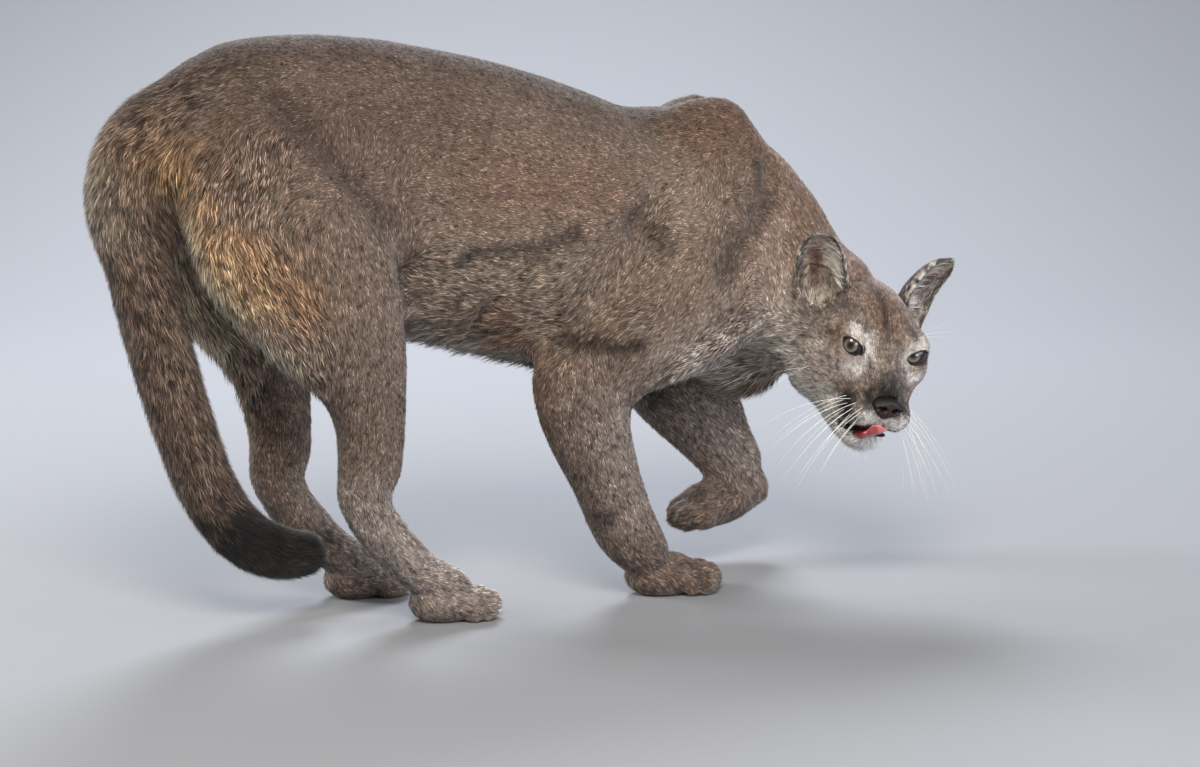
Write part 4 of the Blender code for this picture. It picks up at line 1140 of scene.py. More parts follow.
class COUGAR_OT_nose(bpy.types.Operator):
    """Nose leather: broad wings, comma-shaped nostrils and a groove down the middle"""
    bl_idname = "cougar.nose"
    bl_label = "Nose leather"
    wings = 0.0030
    hole, hole_depth = 0.0030, 0.0075
    slit, slit_depth = 0.0015, 0.0042

    def execute(self, context):
        # Bare leather, pebbled 0.8 mm across and moist, so it glints in small dots.
        leather = painted_skin("moist_nose_leather", "leather", 0.52, 0.32, 0.08, 0.8, 0.45)
        deselect()
        bpy.ops.mesh.primitive_ico_sphere_add(subdivisions=6, radius=1.0)
        nose = context.active_object
        ball = points_of(nose)
        flat = ball.copy()
        flat[:, 1] *= 0.62 + 0.44 * eased(ball[:, 2], -1.0, 0.15)
        points = flat * NOSE_RADII
        points[:, 0] = np.where(points[:, 0] > 0, 0.0105 * np.tanh(points[:, 0] / 0.0105),
                                points[:, 0])
        points[:, 2] *= 1 - 0.18 * eased(points[:, 2], 0.0, 0.010)
        shades = np.tile(colour("leather"), (len(ball), 1))
        push = np.zeros(len(ball))
        for side in SIDES.values():
            wing = np.array([0.60, side * 0.80, -0.12])
            swell = np.exp(-(np.linalg.norm(ball - wing, axis=1) / 0.42) ** 2)
            points += unit(flat) * (self.wings * swell)[:, None]
            hole = self.gap(points, [(0.011, side * 0.0068, -0.0012),
                                     (0.011, side * 0.0092, -0.0006)])
            slit = self.gap(points, [(0.011, side * 0.0095, -0.0002),
                                     (0.009, side * 0.0150, 0.0002),
                                     (0.006, side * 0.0196, -0.0030),
                                     (0.003, side * 0.0200, -0.0060)])
            push += self.hole_depth * np.exp(-(hole / self.hole) ** 4)
            push += self.slit_depth * np.exp(-(slit / self.slit) ** 2)
            # painted shade: the nostrils and their slits are painted near black inside
            dark = np.exp(-(hole / (self.hole * 1.1)) ** 2)
            dark = np.maximum(dark, 0.9 * np.exp(-(slit / (self.slit * 1.3)) ** 2))
            shades *= (1 - 0.94 * dark)[:, None]
        groove = np.exp(-(points[:, 1] / 0.0009) ** 2) * eased(-points[:, 2], -0.004, 0.003)
        push += 0.0016 * groove
        red = np.exp(-(points[:, 1] / 0.0052) ** 2) * eased(-points[:, 2], -0.006, 0.002)
        red = np.maximum(red * 0.85, 0.4 * eased(-points[:, 2], 0.0, 0.010))[:, None]
        shades = shades + red * (colour("philtrum") - shades) * (push < 0.002)[:, None]
        # painted shade: the groove down the middle is painted half as dark
        shades *= (1 - 0.5 * groove)[:, None]
        inwards = unit(np.array([[-1.0, 0, 0.12]])) * push[:, None]
        move_to(nose, from_head(points + inwards + NOSE_AT))
        shades *= (1 + 0.25 * cloud(points, 0.003, 61))[:, None]
        paint(nose, "leather", shades)
        settled(nose, "nose_leather", "nose", leather, "nose")
        return {"FINISHED"}

    def gap(self, points, run):
        """Distance to a run, seen from the front."""
        flat = points * np.array([0.35, 1, 1])
        line = [(x * 0.35, y, z) for x, y, z in run]
        front = points[:, 0] > -0.004
        return np.where(front, run_distance(flat, line)[0], 1.0)


# The plane of the mouth's opening: its middle, and how far it is tilted nose up.
MOUTH_AT, MOUTH_TILT = np.array([0.035, 0, -0.0885]), math.radians(19)
MOUTH_AHEAD = np.array([math.cos(MOUTH_TILT), 0, math.sin(MOUTH_TILT)])
MOUTH_UP = np.array([-math.sin(MOUTH_TILT), 0, math.cos(MOUTH_TILT)])


def tube(name, centres, radii, sides=8):
    """A tube along points, with a radius at each, its ends closed."""
    centres, radii = np.asarray(centres, float), np.asarray(radii, float)
    ahead = unit(np.gradient(centres, axis=0))
    count = len(centres)
    verts, last = [], np.array([0.31, 0.52, 0.79])
    for k in range(count):
        one = unit(last - ahead[k] * (last @ ahead[k]))
        last = one
        two = np.cross(ahead[k], one)
        for s in range(sides):
            angle = 2 * math.pi * s / sides
            verts.append(centres[k] + radii[k] * (one * math.cos(angle)
                                                  + two * math.sin(angle)))
    faces = []
    for k in range(count - 1):
        for s in range(sides):
            t = (s + 1) % sides
            a, b, c, d = (k * sides + s, k * sides + t, (k + 1) * sides + t,
                          (k + 1) * sides + s)
            faces += [(a, b, c), (a, c, d)]
    verts += [centres[0], centres[-1]]
    for s in range(sides):
        t = (s + 1) % sides
        faces.append((len(verts) - 2, t, s))
        faces.append((len(verts) - 1, (count - 1) * sides + s, (count - 1) * sides + t))
    return mesh_from_arrays(name, verts, faces)


class COUGAR_OT_lips(bpy.types.Operator):
    """Black lips along the upper and the lower edge of the mouth"""
    bl_idname = "cougar.lips"
    bl_label = "Lips"

    def execute(self, context):
        # Bare black skin, pebbled 0.9 mm across and licked moist, so it gleams dully.
        wet = painted_skin("moist_lip_skin", "coat", 0.55, 0.35, 0.08, 0.9, 0.2)
        tree = surface_tree(bpy.data.objects["skin"])
        angles = np.radians(np.linspace(-112, 112, 61))
        ways = MOUTH_AHEAD * np.cos(angles)[:, None]
        ways[:, 1] = np.sin(angles)
        close = np.clip(np.cos(angles / math.radians(112) * math.pi / 2), 0, 1)
        for name, side, thick in (("lip_upper", 1, 0.0011), ("lip_lower", -1, 0.0013)):
            # from the middle plane of the mouth, most in front and least at its corners
            high = side * (0.0030 + 0.0026 * close ** 0.6)
            starts = MOUTH_AT - MOUTH_AHEAD * 0.012 + MOUTH_UP * high[:, None]
            far = np.array([self.reach(tree, start, way) for start, way in zip(starts, ways)])
            far = np.fmax(far, far[::-1])       # both halves reach as far
            found = ~np.isnan(far)
            if not found.any():
                raise RuntimeError("the skin has no mouth to line")
            far = np.interp(angles, angles[found], far[found])
            radii = thick * (0.45 + 0.55 * close ** 0.5)
            centres = starts + ways * (far - 0.4 * radii)[:, None]
            centres -= MOUTH_UP * side * 0.0008
            for _ in range(6):
                centres[1:-1] = (centres[:-2] + 2 * centres[1:-1] + centres[2:]) / 4
            lip = tube(name, from_head(centres), radii, 12)
            paint(lip, "coat", np.tile(colour("lid"), (len(points_of(lip)), 1)))
            settled(lip, name, "head", wet)
        return {"FINISHED"}

    def reach(self, tree, start, way):
        """How far the skin lies from a point in the mouth; nan where the mouth is open."""
        hit = tree.ray_cast(Vector(start + way * 0.09), Vector(-way), 0.062)
        return math.nan if hit[0] is None else 0.09 - hit[3]


class COUGAR_OT_tongue(bpy.types.Operator):
    """The tongue curled up over the lip, its groove painted as shade, its rim as a highlight"""
    bl_idname = "cougar.tongue"
    bl_label = "Tongue"

    def execute(self, context):
        # Wet flesh set with papillae 1.1 mm across, so it glints in small bright spots.
        wet = painted_skin("wet_tongue", "flesh", 0.30, 0.5, 0.55, 1.1, 0.35)
        tongue = copies(["tongue"])
        modify(tongue, "REMESH", mode="VOXEL", voxel_size=0.0010, use_smooth_shade=True)
        modify(tongue, "SMOOTH", factor=0.5, iterations=12)
        points, normals = points_of(tongue), normals_of(tongue)
        own = to_head(points)
        across = own @ unit(np.array([0.16, 0.77, 0.62]))
        centre = across.mean()
        groove = np.exp(-((across - centre) / 0.0022) ** 2)
        points -= normals * (0.0009 * groove)[:, None]
        move_to(tongue, points)
        # painted highlight: the rim is painted paler
        rim = eased(np.abs(across - centre), 0.0105, 0.0165)[:, None]
        shades = colour("tongue") * (1 - rim) + colour("tongue_rim_highlight") * rim
        # painted shade: the groove is painted darker
        shades = shades * (1 - 0.35 * groove[:, None])
        shades = shades * (1 + 0.12 * cloud(points, 0.004, 71))[:, None]
        paint(tongue, "flesh", shades)
        settled(tongue, "tongue_flesh", "tongue", wet, "tongue")
        return {"FINISHED"}


# ---------------------------------------------------------------- whiskers
class COUGAR_OT_whiskers(bpy.types.Operator):
    """Long white whiskers in rows on both pads, a few over the eyes and on the cheeks"""
    bl_idname = "cougar.whiskers"
    bl_label = "Whiskers"

    def execute(self, context):
        white = whisker_material()
        rng = np.random.default_rng(31)
        tree = surface_tree(bpy.data.objects["skin"])
        for name, side in SIDES.items():
            hairs = []
            # four rows of four on the pad
            for row in range(4):
                for k in range(4):
                    root = (0.051 - 0.0070 * k, side * (0.031 + 0.0046 * k),
                            -0.056 - 0.0062 * row + 0.001 * k)
                    out = (0.30 - 0.24 * k, side * 1.0, -0.40 - 0.28 * row)
                    reach = rng.uniform(0.060, 0.115) * (1 - 0.05 * row)
                    hairs.append(self.hair(tree, root, out, reach, 0.034, rng, 1.0))
            # three over the eye and three on the cheek
            for k in range(3):
                root = (0.002 - 0.004 * k, side * (0.040 + 0.005 * k), 0.026)
                hairs.append(self.hair(tree, root, (0.5, side * 0.5, 0.9), 0.045, 0.02, rng,
                                       0.55))
                root = (-0.018 - 0.006 * k, side * 0.078, -0.046 - 0.006 * k)
                hairs.append(self.hair(tree, root, (0.1, side * 1.0, -0.5), 0.050, 0.014, rng,
                                       0.6))
            # seven short ones under the chin
            for k in range(7):
                root = (0.050 - 0.006 * k, side * (0.006 + 0.004 * k), -0.116)
                hairs.append(self.hair(tree, root, (0.5 - 0.1 * k, side * 0.15, -1.0),
                                       rng.uniform(0.012, 0.022), 0.002, rng, 0.45))
            activate(*hairs)
            bpy.ops.object.join()
            settled(bpy.context.view_layer.objects.active, f"whiskers_{name}", "head", white)
        return {"FINISHED"}

    def hair(self, tree, root, out, reach, sag, rng, thick):
        """One tapered whisker from the skin next to a root, drooping under its weight."""
        place = tree.find_nearest(Vector(root))[0]
        out = unit(np.array(out, float) + rng.normal(0, 0.13, 3))
        steps = np.linspace(0, 1, 13)
        line = np.array(place) - out * 0.003 + np.outer(steps * reach, out)
        down = np.array([0, 0, -1.0]) @ TURN
        line += np.outer(steps ** 2, down * sag * reach / 0.09)
        radii = sizes().whisker * thick * (1 - 0.93 * steps ** 1.6)
        return tube("hair", from_head(line), radii, 6)


# ---------------------------------------------------------------- coat
# Corners of a tuft: share of its length, of its width, and of its ridge; then its faces.
SHORT_CORNERS = np.array([(0, 0.5, 0), (0, -0.5, 0), (0, 0, 0.45), (1, 0, 0)])
SHORT_FACES = np.array([(0, 2, 3), (1, 3, 2), (0, 3, 1), (0, 1, 2)])
SHORT_PATCH = np.array([(-1, -1), (1, -1), (0, -0.3), (0, 1)])
BEND = 0.4                  # of a long tuft's length: where it is widest
LONG_CORNERS = np.array([(0, 0, 0), (BEND, 0.5, 0), (BEND, 0, 0.34), (BEND, -0.5, 0),
                         (1, 0, 0)])
LONG_FACES = np.array([(0, 2, 1), (0, 3, 2), (0, 1, 3), (4, 1, 2), (4, 2, 3), (4, 3, 1)])
LONG_PATCH = np.array([(0, -1), (-1, 0), (0, 0.2), (1, 0), (0, 1)])
PATCH = 0.0015              # half the width of a tuft's patch on its map
# Lumps of darker and lighter hair: their size in metres, strength and seed.
CLUMPS = ((0.0030, 0.80, 21), (0.008, 0.28, 22), (0.030, 0.07, 23))
SHADE_BETWEEN = 0.27        # how much darker dark hair is for the shade among its tufts
TUFT_SPREAD = 0.55          # spread of tone from tuft to tuft, as a natural logarithm


def combed(roots, up, way, measures, rng, unruly=1.0):
    """Each tuft's own direction, length, width and lift, varied as in a real coat."""
    count = len(roots)
    length = measures[:, 0] * MM * rng.uniform(0.70, 1.25, count) * sizes().hair_length
    length *= 1 + 0.14 * cloud(roots, 0.008, 13)
    wide = measures[:, 2] * MM * rng.uniform(0.70, 1.30, count) * sizes().hair_width
    lift = np.radians(measures[:, 3] * rng.uniform(0.4, 1.6, count))
    swing = 0.17 * cloud(roots, 0.028, 11) + 0.15 * cloud(roots, 0.008, 12)
    swing = unruly * (swing + rng.normal(0, 0.13, count))
    way = unit(way + np.cross(up, way) * swing[:, None])
    return way, length, wide, lift


def hair_tips(roots, body, rng):
    """The colour at each tuft's tip: a few dark, a few pale, the rest a little lighter."""
    light = np.minimum(body.mean(axis=1), 1)
    draw = rng.uniform(0, 1, len(roots))
    end = body * 1.2
    dark, pale = draw < 0.32 * (1 - light), draw > 0.66
    end[dark] = body[dark] * 0.28 + colour("dark_tip") * 0.3
    share = np.clip(0.02 + 2.1 * light[pale], 0, 0.50)[:, None]
    end[pale] = body[pale] * (1 - share) + colour("pale_tip") * share
    return end


def tuft_block(corners, faces, patch, chosen, roots, up, way, length, wide, lift, body, tip,
               places):
    """Points, faces, shades, normals and map of the chosen tufts, all of one shape."""
    roots, up, way = roots[chosen], up[chosen], way[chosen]
    length, wide, lift = length[chosen], wide[chosen], lift[chosen]
    across = np.cross(up, way)
    along, aside, ridge = (corners[None, :, k, None] for k in range(3))
    flat = (length * np.cos(lift))[:, None, None]
    high = (length * np.sin(lift))[:, None, None]
    sink = np.minimum(0.0005, length * 0.08)[:, None, None]
    points = roots[:, None] + way[:, None] * flat * along
    points = points + up[:, None] * (high * along ** 0.85 - sink * (1 - along)
                                     + wide[:, None, None] * ridge)
    points = points + across[:, None] * wide[:, None, None] * aside
    normals = up[:, None] * 0.85 + across[:, None] * aside * 1.3 + way[:, None] * along * 0.35
    tris = faces[None] + len(corners) * np.arange(len(roots))[:, None, None]
    # painted shade: each tuft is painted darker towards its root, where the tufts shade each
    # other
    base = (0.45 + 0.40 * np.minimum(body[chosen].mean(axis=1), 1))[:, None, None]
    shaded = BEND if corners is LONG_CORNERS else 1.0
    root_shade = base + (1 - base) * np.minimum(1, along / shaded)
    mixed = body[chosen][:, None] * (1 - along ** 2) + tip[chosen][:, None] * along ** 2
    shades = mixed * root_shade
    uv = places[chosen][:, None, :] + patch[None] * PATCH
    return (points.reshape(-1, 3), tris.reshape(-1, 3), shades.reshape(-1, 3),
            unit(normals).reshape(-1, 3), uv.reshape(-1, 2))


def make_tufts(name, roots, up, way, measures, body, places, seed, material, slot,
               unruly=1.0):
    """One closed tuft at each root, all joined into one piece."""
    rng = np.random.default_rng(seed)
    way, length, wide, lift = combed(roots, up, way, measures, rng, unruly)
    light = np.minimum(body.mean(axis=1), 1)
    clumps = sum(strength * cloud(roots, size, at) for size, strength, at in CLUMPS)
    tone = 1 + (1 - 0.6 * light) * (clumps - SHADE_BETWEEN)
    tone *= np.exp(rng.normal(0, TUFT_SPREAD, len(roots)) * (1 - 0.75 * light))
    body = body * np.clip(tone, 0.12, 2.8)[:, None]
    tip = hair_tips(roots, body, rng)
    bends = measures[:, 0] > LONG_HAIR
    blocks, start = [], 0
    for corners, faces, patch, chosen in (
            (SHORT_CORNERS, SHORT_FACES, SHORT_PATCH, ~bends),
            (LONG_CORNERS, LONG_FACES, LONG_PATCH, bends)):
        if not chosen.any():
            continue
        block = list(tuft_block(corners, faces, patch, chosen, roots, up, way, length, wide,
                                lift, body, tip, places))
        block[1] = block[1] + start
        start += len(block[0])
        blocks.append(block)
    points, tris, shades, normals, uv = (np.concatenate(part) for part in zip(*blocks))
    piece = mesh_from_arrays(name, points, tris)
    paint(piece, "coat", shades)
    layer = piece.data.uv_layers.new(name="OFBake")
    layer.data.foreach_set("uv", uv[tris.ravel()].astype(np.float32).ravel())
    settled(piece, name, slot, material)
    piece.data.normals_split_custom_set_from_vertices(normals.tolist())


# The axis that each piece of the coat is unwrapped round, and the name of a CAD node for it.
COAT_PIECES = {
    "face": ("head", (-0.10, 0, -0.04), (0.09, 0, -0.05), "head"),
    "crown": ("head", (-0.16, 0, -0.03), (0.02, 0, -0.02), "head"),
    "neck": ("stance", (0.29, -0.16, 0.31), (0.08, 0, 0.43), "neck"),
    "trunk": ("stance", (0.22, 0, 0.42), (-0.64, 0, 0.50), "chest"),
    "hind": ("stance", (-0.46, 0, 0.68), (-0.30, 0, -0.02), "hindquarters"),
    "fore": ("stance", (0.08, -0.09, 0.58), (0.02, -0.09, -0.02), "chest"),
    "lifted": ("stance", (0.16, 0.09, 0.56), (0.18, 0.08, 0.02), "chest"),
    "tail": ("stance", (-0.60, 0, 0.62), (-0.44, 0, 0.02), "tail_root"),
}
PIECE_LIMIT = 198000        # triangles of one piece of the coat


def unwrapped(points, axes, start, end):
    """Angle round an axis and place along it, from 0 to 1."""
    own = to_head(points) if axes == "head" else to_stance(points)
    start, end = np.array(start, float), np.array(end, float)
    step = end - start
    along = np.clip((own - start) @ step / (step @ step), 0, 1)
    axis = step / np.linalg.norm(step)
    one = unit(np.cross(axis, np.array([0.1, 1.0, 0.2])))
    two = np.cross(axis, one)
    off = own - start
    angle = np.arctan2(off @ two, off @ one) / (2 * math.pi) + 0.5
    return np.stack([0.01 + 0.98 * angle, 0.01 + 0.98 * along], axis=1)


def bare(points):
    """Where the skin grows no hair: under lids and nose, in the mouth and the ears."""
    own = to_head(points)
    hidden = np.zeros(len(points), bool)
    for side in SIDES.values():
        hidden |= lid_level(own, side) < LID_BARE
        hidden |= ear_room(own, side) < 1.05
    nose = (own - NOSE_AT) / (NOSE_RADII * 0.97)
    hidden |= np.linalg.norm(nose, axis=1) < 1.0
    slit = own - MOUTH_AT
    lens = ((slit @ MOUTH_AHEAD) / 0.038) ** 2 + (slit[:, 1] / 0.036) ** 2
    lens += ((slit @ MOUTH_UP) / 0.0044) ** 2
    hidden |= lens < 1.0
    return hidden


def hair_measures(long, spacing, width, lift):
    """Measures of tufts of which only the length varies, in millimetres and degrees."""
    return np.stack([long] + [0 * long + same for same in (spacing, width, lift)], axis=1)


class Ground:
    """A surface that hair grows on: its points, normals, faces and their areas."""

    def __init__(self, piece):
        self.points, self.normals = points_of(piece), normals_of(piece)
        self.tris = triangles_of(piece)
        corners = self.points[self.tris]
        edges = np.cross(corners[:, 1] - corners[:, 0], corners[:, 2] - corners[:, 0])
        self.area = np.linalg.norm(edges, axis=1) / 2
        self.centre = corners.mean(axis=1)
        self.up = unit(self.normals[self.tris].mean(axis=1))

    def scattered(self, wanted, limit, seed):
        """Evenly spread seeded points, as a function that reads values there."""
        rng = np.random.default_rng(seed)
        amount = np.cumsum(wanted)
        count = min(int(amount[-1]), limit)
        picks = (np.arange(count) + rng.uniform(0, 1, count)) * amount[-1] / count
        face = np.minimum(np.searchsorted(amount, picks), len(wanted) - 1)
        a, b = np.sqrt(rng.uniform(0, 1, count)), rng.uniform(0, 1, count)
        shares = np.stack([1 - a, a * (1 - b), a * b], axis=1)[:, :, None]
        return lambda values: (values[self.tris[face]] * shares).sum(axis=1)


class COUGAR_OT_coat(bpy.types.Operator):
    """The body's coat: tufts that lie along it, longer on belly, throat and thighs"""
    bl_idname = "cougar.coat"
    bl_label = "Coat"

    def execute(self, context):
        ground = Ground(bpy.data.objects["skin"])
        way, measures, _ = lie_of_the_coat(ground.points, ground.normals)
        _, _, part = lie_of_the_coat(ground.centre, ground.up)
        middle_measures = measures[ground.tris].mean(axis=1)
        wanted = ground.area / (middle_measures[:, 1] * MM) ** 2
        wanted[bare(ground.centre)] = 0
        wanted[ground.centre[:, 2] < 0.004] = 0
        tris_each = np.where(middle_measures[:, 0] > LONG_HAIR, 6, 4)
        wanted *= min(1.0, sizes().coat_triangles / np.sum(wanted * tris_each))
        material = hair_material()
        for number, (label, here, plan) in enumerate(self.pieces(ground, part)):
            axes, start, end, slot = plan
            amount = np.where(here, wanted, 0)
            mean_tris = np.sum(amount * tris_each) / np.sum(amount)
            at = ground.scattered(amount, int(PIECE_LIMIT / mean_tris), 100 + number)
            roots = at(ground.points)
            keep = ~bare(roots)
            up = unit(at(ground.normals))
            lie = flattened(at(way), up)
            make_tufts(label, roots[keep], up[keep], lie[keep], at(measures)[keep],
                       markings_and_painted_light(roots[keep]), unwrapped(roots[keep], axes, start, end),
                       200 + number, material, slot)
        return {"FINISHED"}

    def pieces(self, ground, part):
        """Each piece of the coat: its name, its faces and its plan."""
        stance = to_stance(ground.centre)
        right, fore = stance[:, 1] < 0, stance[:, 0] > -0.21
        for name, plan in COAT_PIECES.items():
            here = part == name
            if name == "hind":
                high = stance[:, 2] > 0.40
                yield "coat_thigh_right", here & right & high, plan
                yield "coat_thigh_left", here & ~right & high, plan
                yield "coat_shank_right", here & right & ~high, plan
                yield "coat_shank_left", here & ~right & ~high, plan
            elif name == "trunk":
                yield "coat_ribs_right", here & right & fore, plan
                yield "coat_ribs_left", here & ~right & fore, plan
                yield "coat_rump_right", here & right & ~fore, plan
                yield "coat_rump_left", here & ~right & ~fore, plan
            else:
                yield f"coat_{name}", here, plan


class COUGAR_OT_face_down(bpy.types.Operator):
    """The finest hair: down on the lids and ears, and the long hair inside the ears"""
    bl_idname = "cougar.face_down"
    bl_label = "Down on lids and ears"

    def execute(self, context):
        material = hair_material()
        for name, side in SIDES.items():
            self.on_lids(name, side, material)
            self.on_ear(name, side, material)
            self.in_hollow(name, side, material)
            self.in_cup(name, side, material)
        return {"FINISHED"}

    def on_lids(self, name, side, material):
        """Short down on the front of the lids, outside their bare edge."""
        ground = Ground(bpy.data.objects[f"eyelids_{name}"])
        level = lid_level(to_head(ground.centre), side)
        wanted = ground.area / (0.75 * MM) ** 2
        wanted[level < 1.20] = 0
        fronts = 2 * COUGAR_OT_lids.around * (len(COUGAR_OT_lids.levels) - 1)
        wanted[fronts:] = 0
        at = ground.scattered(wanted, 9000, 300)
        roots, up = at(ground.points), unit(at(ground.normals))
        x, y, _ = on_almond(to_head(roots), side)
        way, _, _ = lie_of_the_coat(roots, up)
        measures = hair_measures(np.full(len(roots), 2.2), 0.75, 0.45, 10)
        places = np.clip(0.5 + np.stack([x, y], axis=1) * 12, 0.01, 0.99)
        make_tufts(f"coat_lid_{name}", roots, up, way, measures, lid_shades(roots, side),
                   places, 301, material, f"eye_{name}")

    def on_ear(self, name, side, material):
        """Down that runs up the ear, short inside and a little longer on the back."""
        ground = Ground(bpy.data.objects[f"ear_cup_{name}"])
        at = ground.scattered(ground.area / (0.95 * MM) ** 2, 22000, 310)
        roots, up = at(ground.points), unit(at(ground.normals))
        _, along, _, _ = ear_axes(side)
        way = flattened(np.tile(along @ TURN.T, (len(roots), 1)), up)
        own = in_ear(to_head(roots), side)
        inner = inside_cup(to_head(roots), up @ TURN, side)
        edge, high = rim_share(own)
        long = 3.6 - 0.9 * inner + 1.2 * (1 - eased(edge, 0.0, 0.12))
        measures = hair_measures(long, 0.95, 0.55, 17)
        places = np.stack([0.5 + own[:, 2] / 0.16, 0.05 + 0.9 * high], axis=1)
        places[:, 0] += np.where(inner > 0.5, 0.25, -0.25)
        keep = own[:, 0] > 0.002
        make_tufts(f"coat_ear_{name}", roots[keep], up[keep], way[keep], measures[keep],
                   ear_colours(roots[keep], up[keep], side), places[keep], 311, material,
                   f"ear_{name}", 1.6)

    def in_hollow(self, name, side, material):
        """Short down where the ear's cup runs out over the head."""
        ground = Ground(bpy.data.objects["skin"])
        wanted = ground.area / (1.0 * MM) ** 2
        wanted[ear_room(to_head(ground.centre), side) > 1.08] = 0
        at = ground.scattered(wanted, 9000, 315)
        roots, up = at(ground.points), unit(at(ground.normals))
        own = in_ear(to_head(roots), side)
        _, along, opening, across = ear_axes(side)
        way = flattened((along - across * 0.3 * np.sign(own[:, 2:])) @ TURN.T, up)
        long = 4.0 + 4.5 * eased(-own[:, 1], -0.006, 0.006) + 5 * eased(own[:, 0], 0.045, 0.062)
        measures = hair_measures(long, 1, 0.6, 22)
        shades = ear_colours(roots, np.tile(opening @ TURN.T, (len(roots), 1)), side)
        places = np.clip(0.5 + own[:, [2, 0]] * 6, 0.01, 0.99)
        make_tufts(f"coat_ear_hollow_{name}", roots, up, way, measures, shades, places, 316,
                   material, f"ear_{name}", 1.6)

    def in_cup(self, name, side, material):
        """Long whitish hair from the inner edge of the cup, swept out and up across it."""
        ground = Ground(bpy.data.objects[f"ear_cup_{name}"])
        own = in_ear(to_head(ground.centre), side)
        inner = inside_cup(to_head(ground.centre), ground.up @ TURN, side) > 0.6
        band = np.exp(-((own[:, 2] + 0.021) / 0.0075) ** 2)
        band += 0.30 * np.exp(-((own[:, 2] - 0.024) / 0.005) ** 2)
        band *= eased(own[:, 0], 0.006, 0.020) * (1 - eased(own[:, 0], 0.058, 0.082))
        wanted = ground.area * band * inner / (1.15 * MM) ** 2
        at = ground.scattered(wanted, 2600, 320)
        roots, up = at(ground.points), unit(at(ground.normals))
        own = in_ear(to_head(roots), side)
        _, along, opening, across = ear_axes(side)
        sweep = np.where(own[:, 2] < 0, 0.75, -0.30)[:, None]
        way = flattened((along * 0.75 + opening * 0.30 + across * sweep) @ TURN.T, up)
        long = np.where(own[:, 2] < 0, 17.0, 9.0)
        measures = hair_measures(long, 1.1, 0.45, 24)
        white = np.tile(np.array(linear("#c9c1b7")), (len(roots), 1))
        places = np.clip(0.5 + own[:, [2, 0]] * 5, 0.01, 0.99)
        make_tufts(f"coat_ear_inside_{name}", roots, up, way, measures, white, places, 321,
                   material, f"ear_{name}", 1.5)


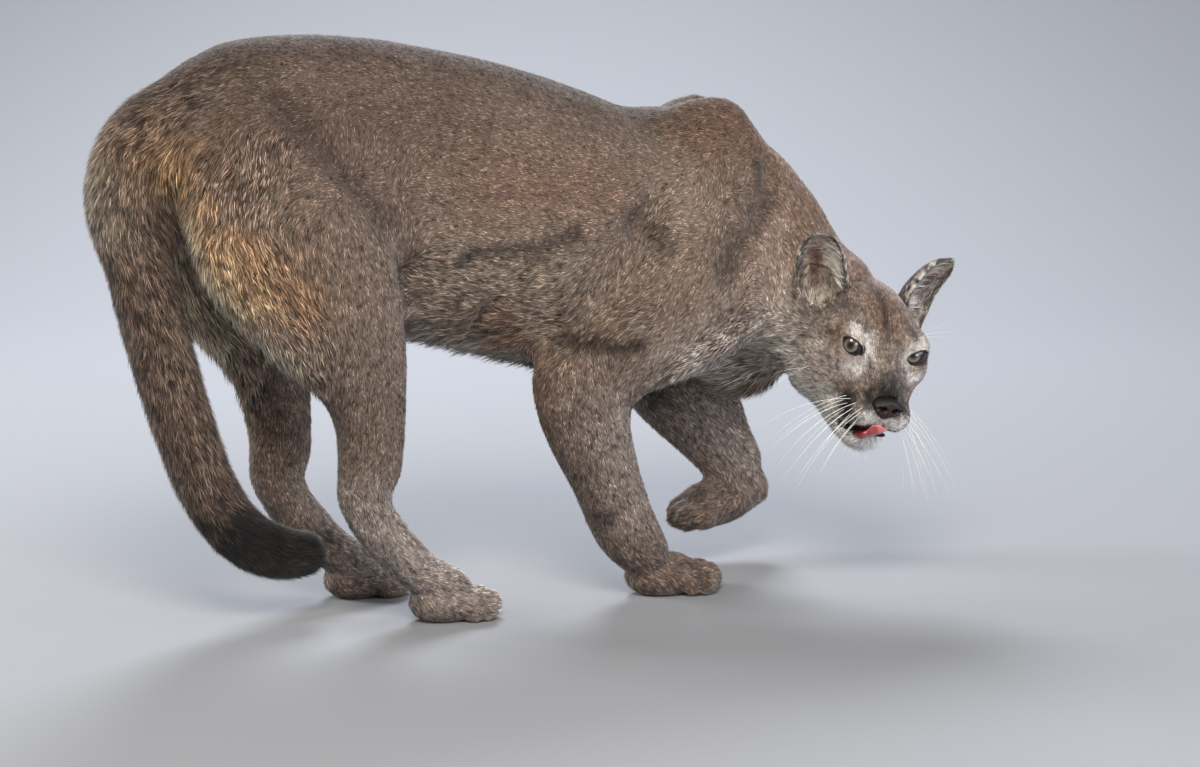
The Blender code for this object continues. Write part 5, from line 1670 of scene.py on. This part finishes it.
# ---------------------------------------------------------------- stage
class COUGAR_OT_stage(bpy.types.Operator):
    """Pale floor that curves up behind, five soft lights and the camera"""
    bl_idname = "cougar.stage"
    bl_label = "Studio"
    turn = math.radians(-28)                # where the camera stands round the cat
    camera_high = math.radians(9)
    camera_away = 4.5
    # name, place, width, watts and colour
    lamps = (("key", (-1.5, -2.9, 2.9), 1.7, 175, "#fff6ea"),
             ("fill", (2.9, -2.6, 1.3), 2.2, 46, "#eaf0ff"),
             ("rim", (1.2, 2.7, 2.7), 1.5, 190, "#f4f7ff"),
             ("rim_left", (-2.6, 1.9, 1.6), 1.3, 90, "#ffffff"),
             ("low", (0.9, -2.7, 0.25), 1.4, 46, "#f4f6ff"))

    def execute(self, context):
        self.floor()
        self.lights()
        self.camera()
        return {"FINISHED"}

    def floor(self):
        """A sheet of paper: a plane, its far edge pulled up and the bend rounded."""
        deselect()
        bpy.ops.mesh.primitive_plane_add(size=12, location=(0, 0, 0))
        paper = bpy.context.active_object
        bpy.ops.object.mode_set(mode="EDIT")
        bpy.ops.mesh.select_mode(type="EDGE")
        bpy.ops.mesh.select_all(action="DESELECT")
        bpy.ops.object.mode_set(mode="OBJECT")
        for edge in paper.data.edges:
            edge.select = all(paper.data.vertices[v].co.y > 0 for v in edge.vertices)
        bpy.ops.object.mode_set(mode="EDIT")
        bpy.ops.mesh.extrude_edges_move(TRANSFORM_OT_translate={"value": (0, 0, 6)})
        bpy.ops.object.mode_set(mode="OBJECT")
        for edge in paper.data.edges:
            low = [paper.data.vertices[v].co for v in edge.vertices]
            edge.select = all(co.y > 0 and co.z < 1 for co in low)
        bpy.ops.object.mode_set(mode="EDIT")
        bpy.ops.mesh.bevel(offset=2.2, segments=24, affect="EDGES")
        bpy.ops.object.mode_set(mode="OBJECT")
        paper.location = (-2.6 * math.sin(self.turn), -2.6 * math.cos(self.turn), 0)
        paper.rotation_euler = (0, 0, self.turn)
        activate(paper)
        bpy.ops.object.transform_apply(location=True, rotation=True, scale=True)
        paper.name = "studio_floor"
        paper.data.shade_smooth()
        # Matt seamless paper: pale grey, with a fine tooth that gives no gleam.
        material, surface = new_material("seamless_paper", 0.95, 0.15)
        surface.inputs["Base Color"].default_value = (*colour("paper"), 1)
        where = add_node(material, "ShaderNodeTexCoord")
        tooth = add_node(material, "ShaderNodeTexNoise", [("Vector", where.outputs["Object"])],
                         Scale=1 / (2.5 * MM))
        bump = add_node(material, "ShaderNodeBump", [("Height", tooth.outputs["Fac"])],
                        Strength=0.08, Distance=0.2 * MM)
        join_to(material, bump.outputs["Normal"], surface.inputs["Normal"])
        paper.data.materials.append(material)

    def lights(self):
        """A pale sky and round soft lamps, all aimed at the trunk."""
        world = bpy.data.worlds.new("studio")
        bpy.context.scene.world = world
        world.use_nodes = True
        sky = world.node_tree.nodes["Background"]
        sky.inputs["Color"].default_value = (*linear("#dfe4ea"), 1)
        sky.inputs["Strength"].default_value = 0.42
        target = Vector(from_stance((0.0, 0.0, 0.32)))
        for name, place, size, watts, code in self.lamps:
            data = bpy.data.lights.new(name, "AREA")
            data.shape, data.size, data.energy = "DISK", size, watts
            data.color = linear(code)
            lamp = bpy.data.objects.new(name, data)
            bpy.context.scene.collection.objects.link(lamp)
            lamp.location = place
            aim = target - Vector(place)
            lamp.rotation_euler = aim.to_track_quat("-Z", "Y").to_euler()

    def camera(self):
        """The camera, low before the cat's side, with a long lens."""
        lens = bpy.data.cameras.new("view")
        camera = bpy.data.objects.new("view", lens)
        bpy.context.scene.collection.objects.link(camera)
        back = Vector((math.sin(self.turn) * math.cos(self.camera_high),
                       -math.cos(self.turn) * math.cos(self.camera_high),
                       math.sin(self.camera_high)))
        camera.location = Vector(from_stance((0, 0, 0.248))) + back * self.camera_away
        camera.rotation_euler = (-back).to_track_quat("-Z", "Y").to_euler()
        lens.lens, lens.sensor_width = 112.05, 36
        lens.clip_start, lens.clip_end = 0.1, 60
        bpy.context.scene.camera = camera
        bpy.context.scene.view_settings.view_transform = "Standard"


# ---------------------------------------------------------------- panel and start
STEPS = (COUGAR_OT_skin, COUGAR_OT_eyes, COUGAR_OT_lids, COUGAR_OT_ears, COUGAR_OT_nose,
         COUGAR_OT_lips, COUGAR_OT_tongue, COUGAR_OT_whiskers, COUGAR_OT_coat,
         COUGAR_OT_face_down, COUGAR_OT_stage)


class COUGAR_PT_panel(bpy.types.Panel):
    """Sizes, colours and the steps that dress the cat, in order"""
    bl_idname = "COUGAR_PT_panel"
    bl_label = "Cougar"
    bl_space_type = "VIEW_3D"
    bl_region_type = "UI"
    bl_category = "Cougar"

    def draw(self, context):
        column = self.layout.column(align=True)
        for group in (context.scene.cougar_sizes, context.scene.cougar_colours):
            for name in group.__annotations__:
                column.prop(group, name)
            column.separator()
        for step in STEPS:
            column.operator(step.bl_idname)


CLASSES = (CougarSizes, CougarColours, *STEPS, COUGAR_PT_panel)


def register():
    """Make the classes and their properties known."""
    for each in CLASSES:
        bpy.utils.register_class(each)
    bpy.types.Scene.cougar_sizes = PointerProperty(type=CougarSizes)
    bpy.types.Scene.cougar_colours = PointerProperty(type=CougarColours)


def unregister():
    """Take the classes and their properties out again."""
    del bpy.types.Scene.cougar_colours
    del bpy.types.Scene.cougar_sizes
    for each in reversed(CLASSES):
        bpy.utils.unregister_class(each)


def main():
    """Dress the cat step by step."""
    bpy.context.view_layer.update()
    register()
    bpy.ops.cougar.skin()
    bpy.ops.cougar.eyes()
    bpy.ops.cougar.lids()
    bpy.ops.cougar.ears()
    bpy.ops.cougar.nose()
    bpy.ops.cougar.lips()
    bpy.ops.cougar.tongue()
    bpy.ops.cougar.whiskers()
    bpy.ops.cougar.coat()
    bpy.ops.cougar.face_down()
    bpy.ops.cougar.stage()


if __name__ == "__main__":
    main()
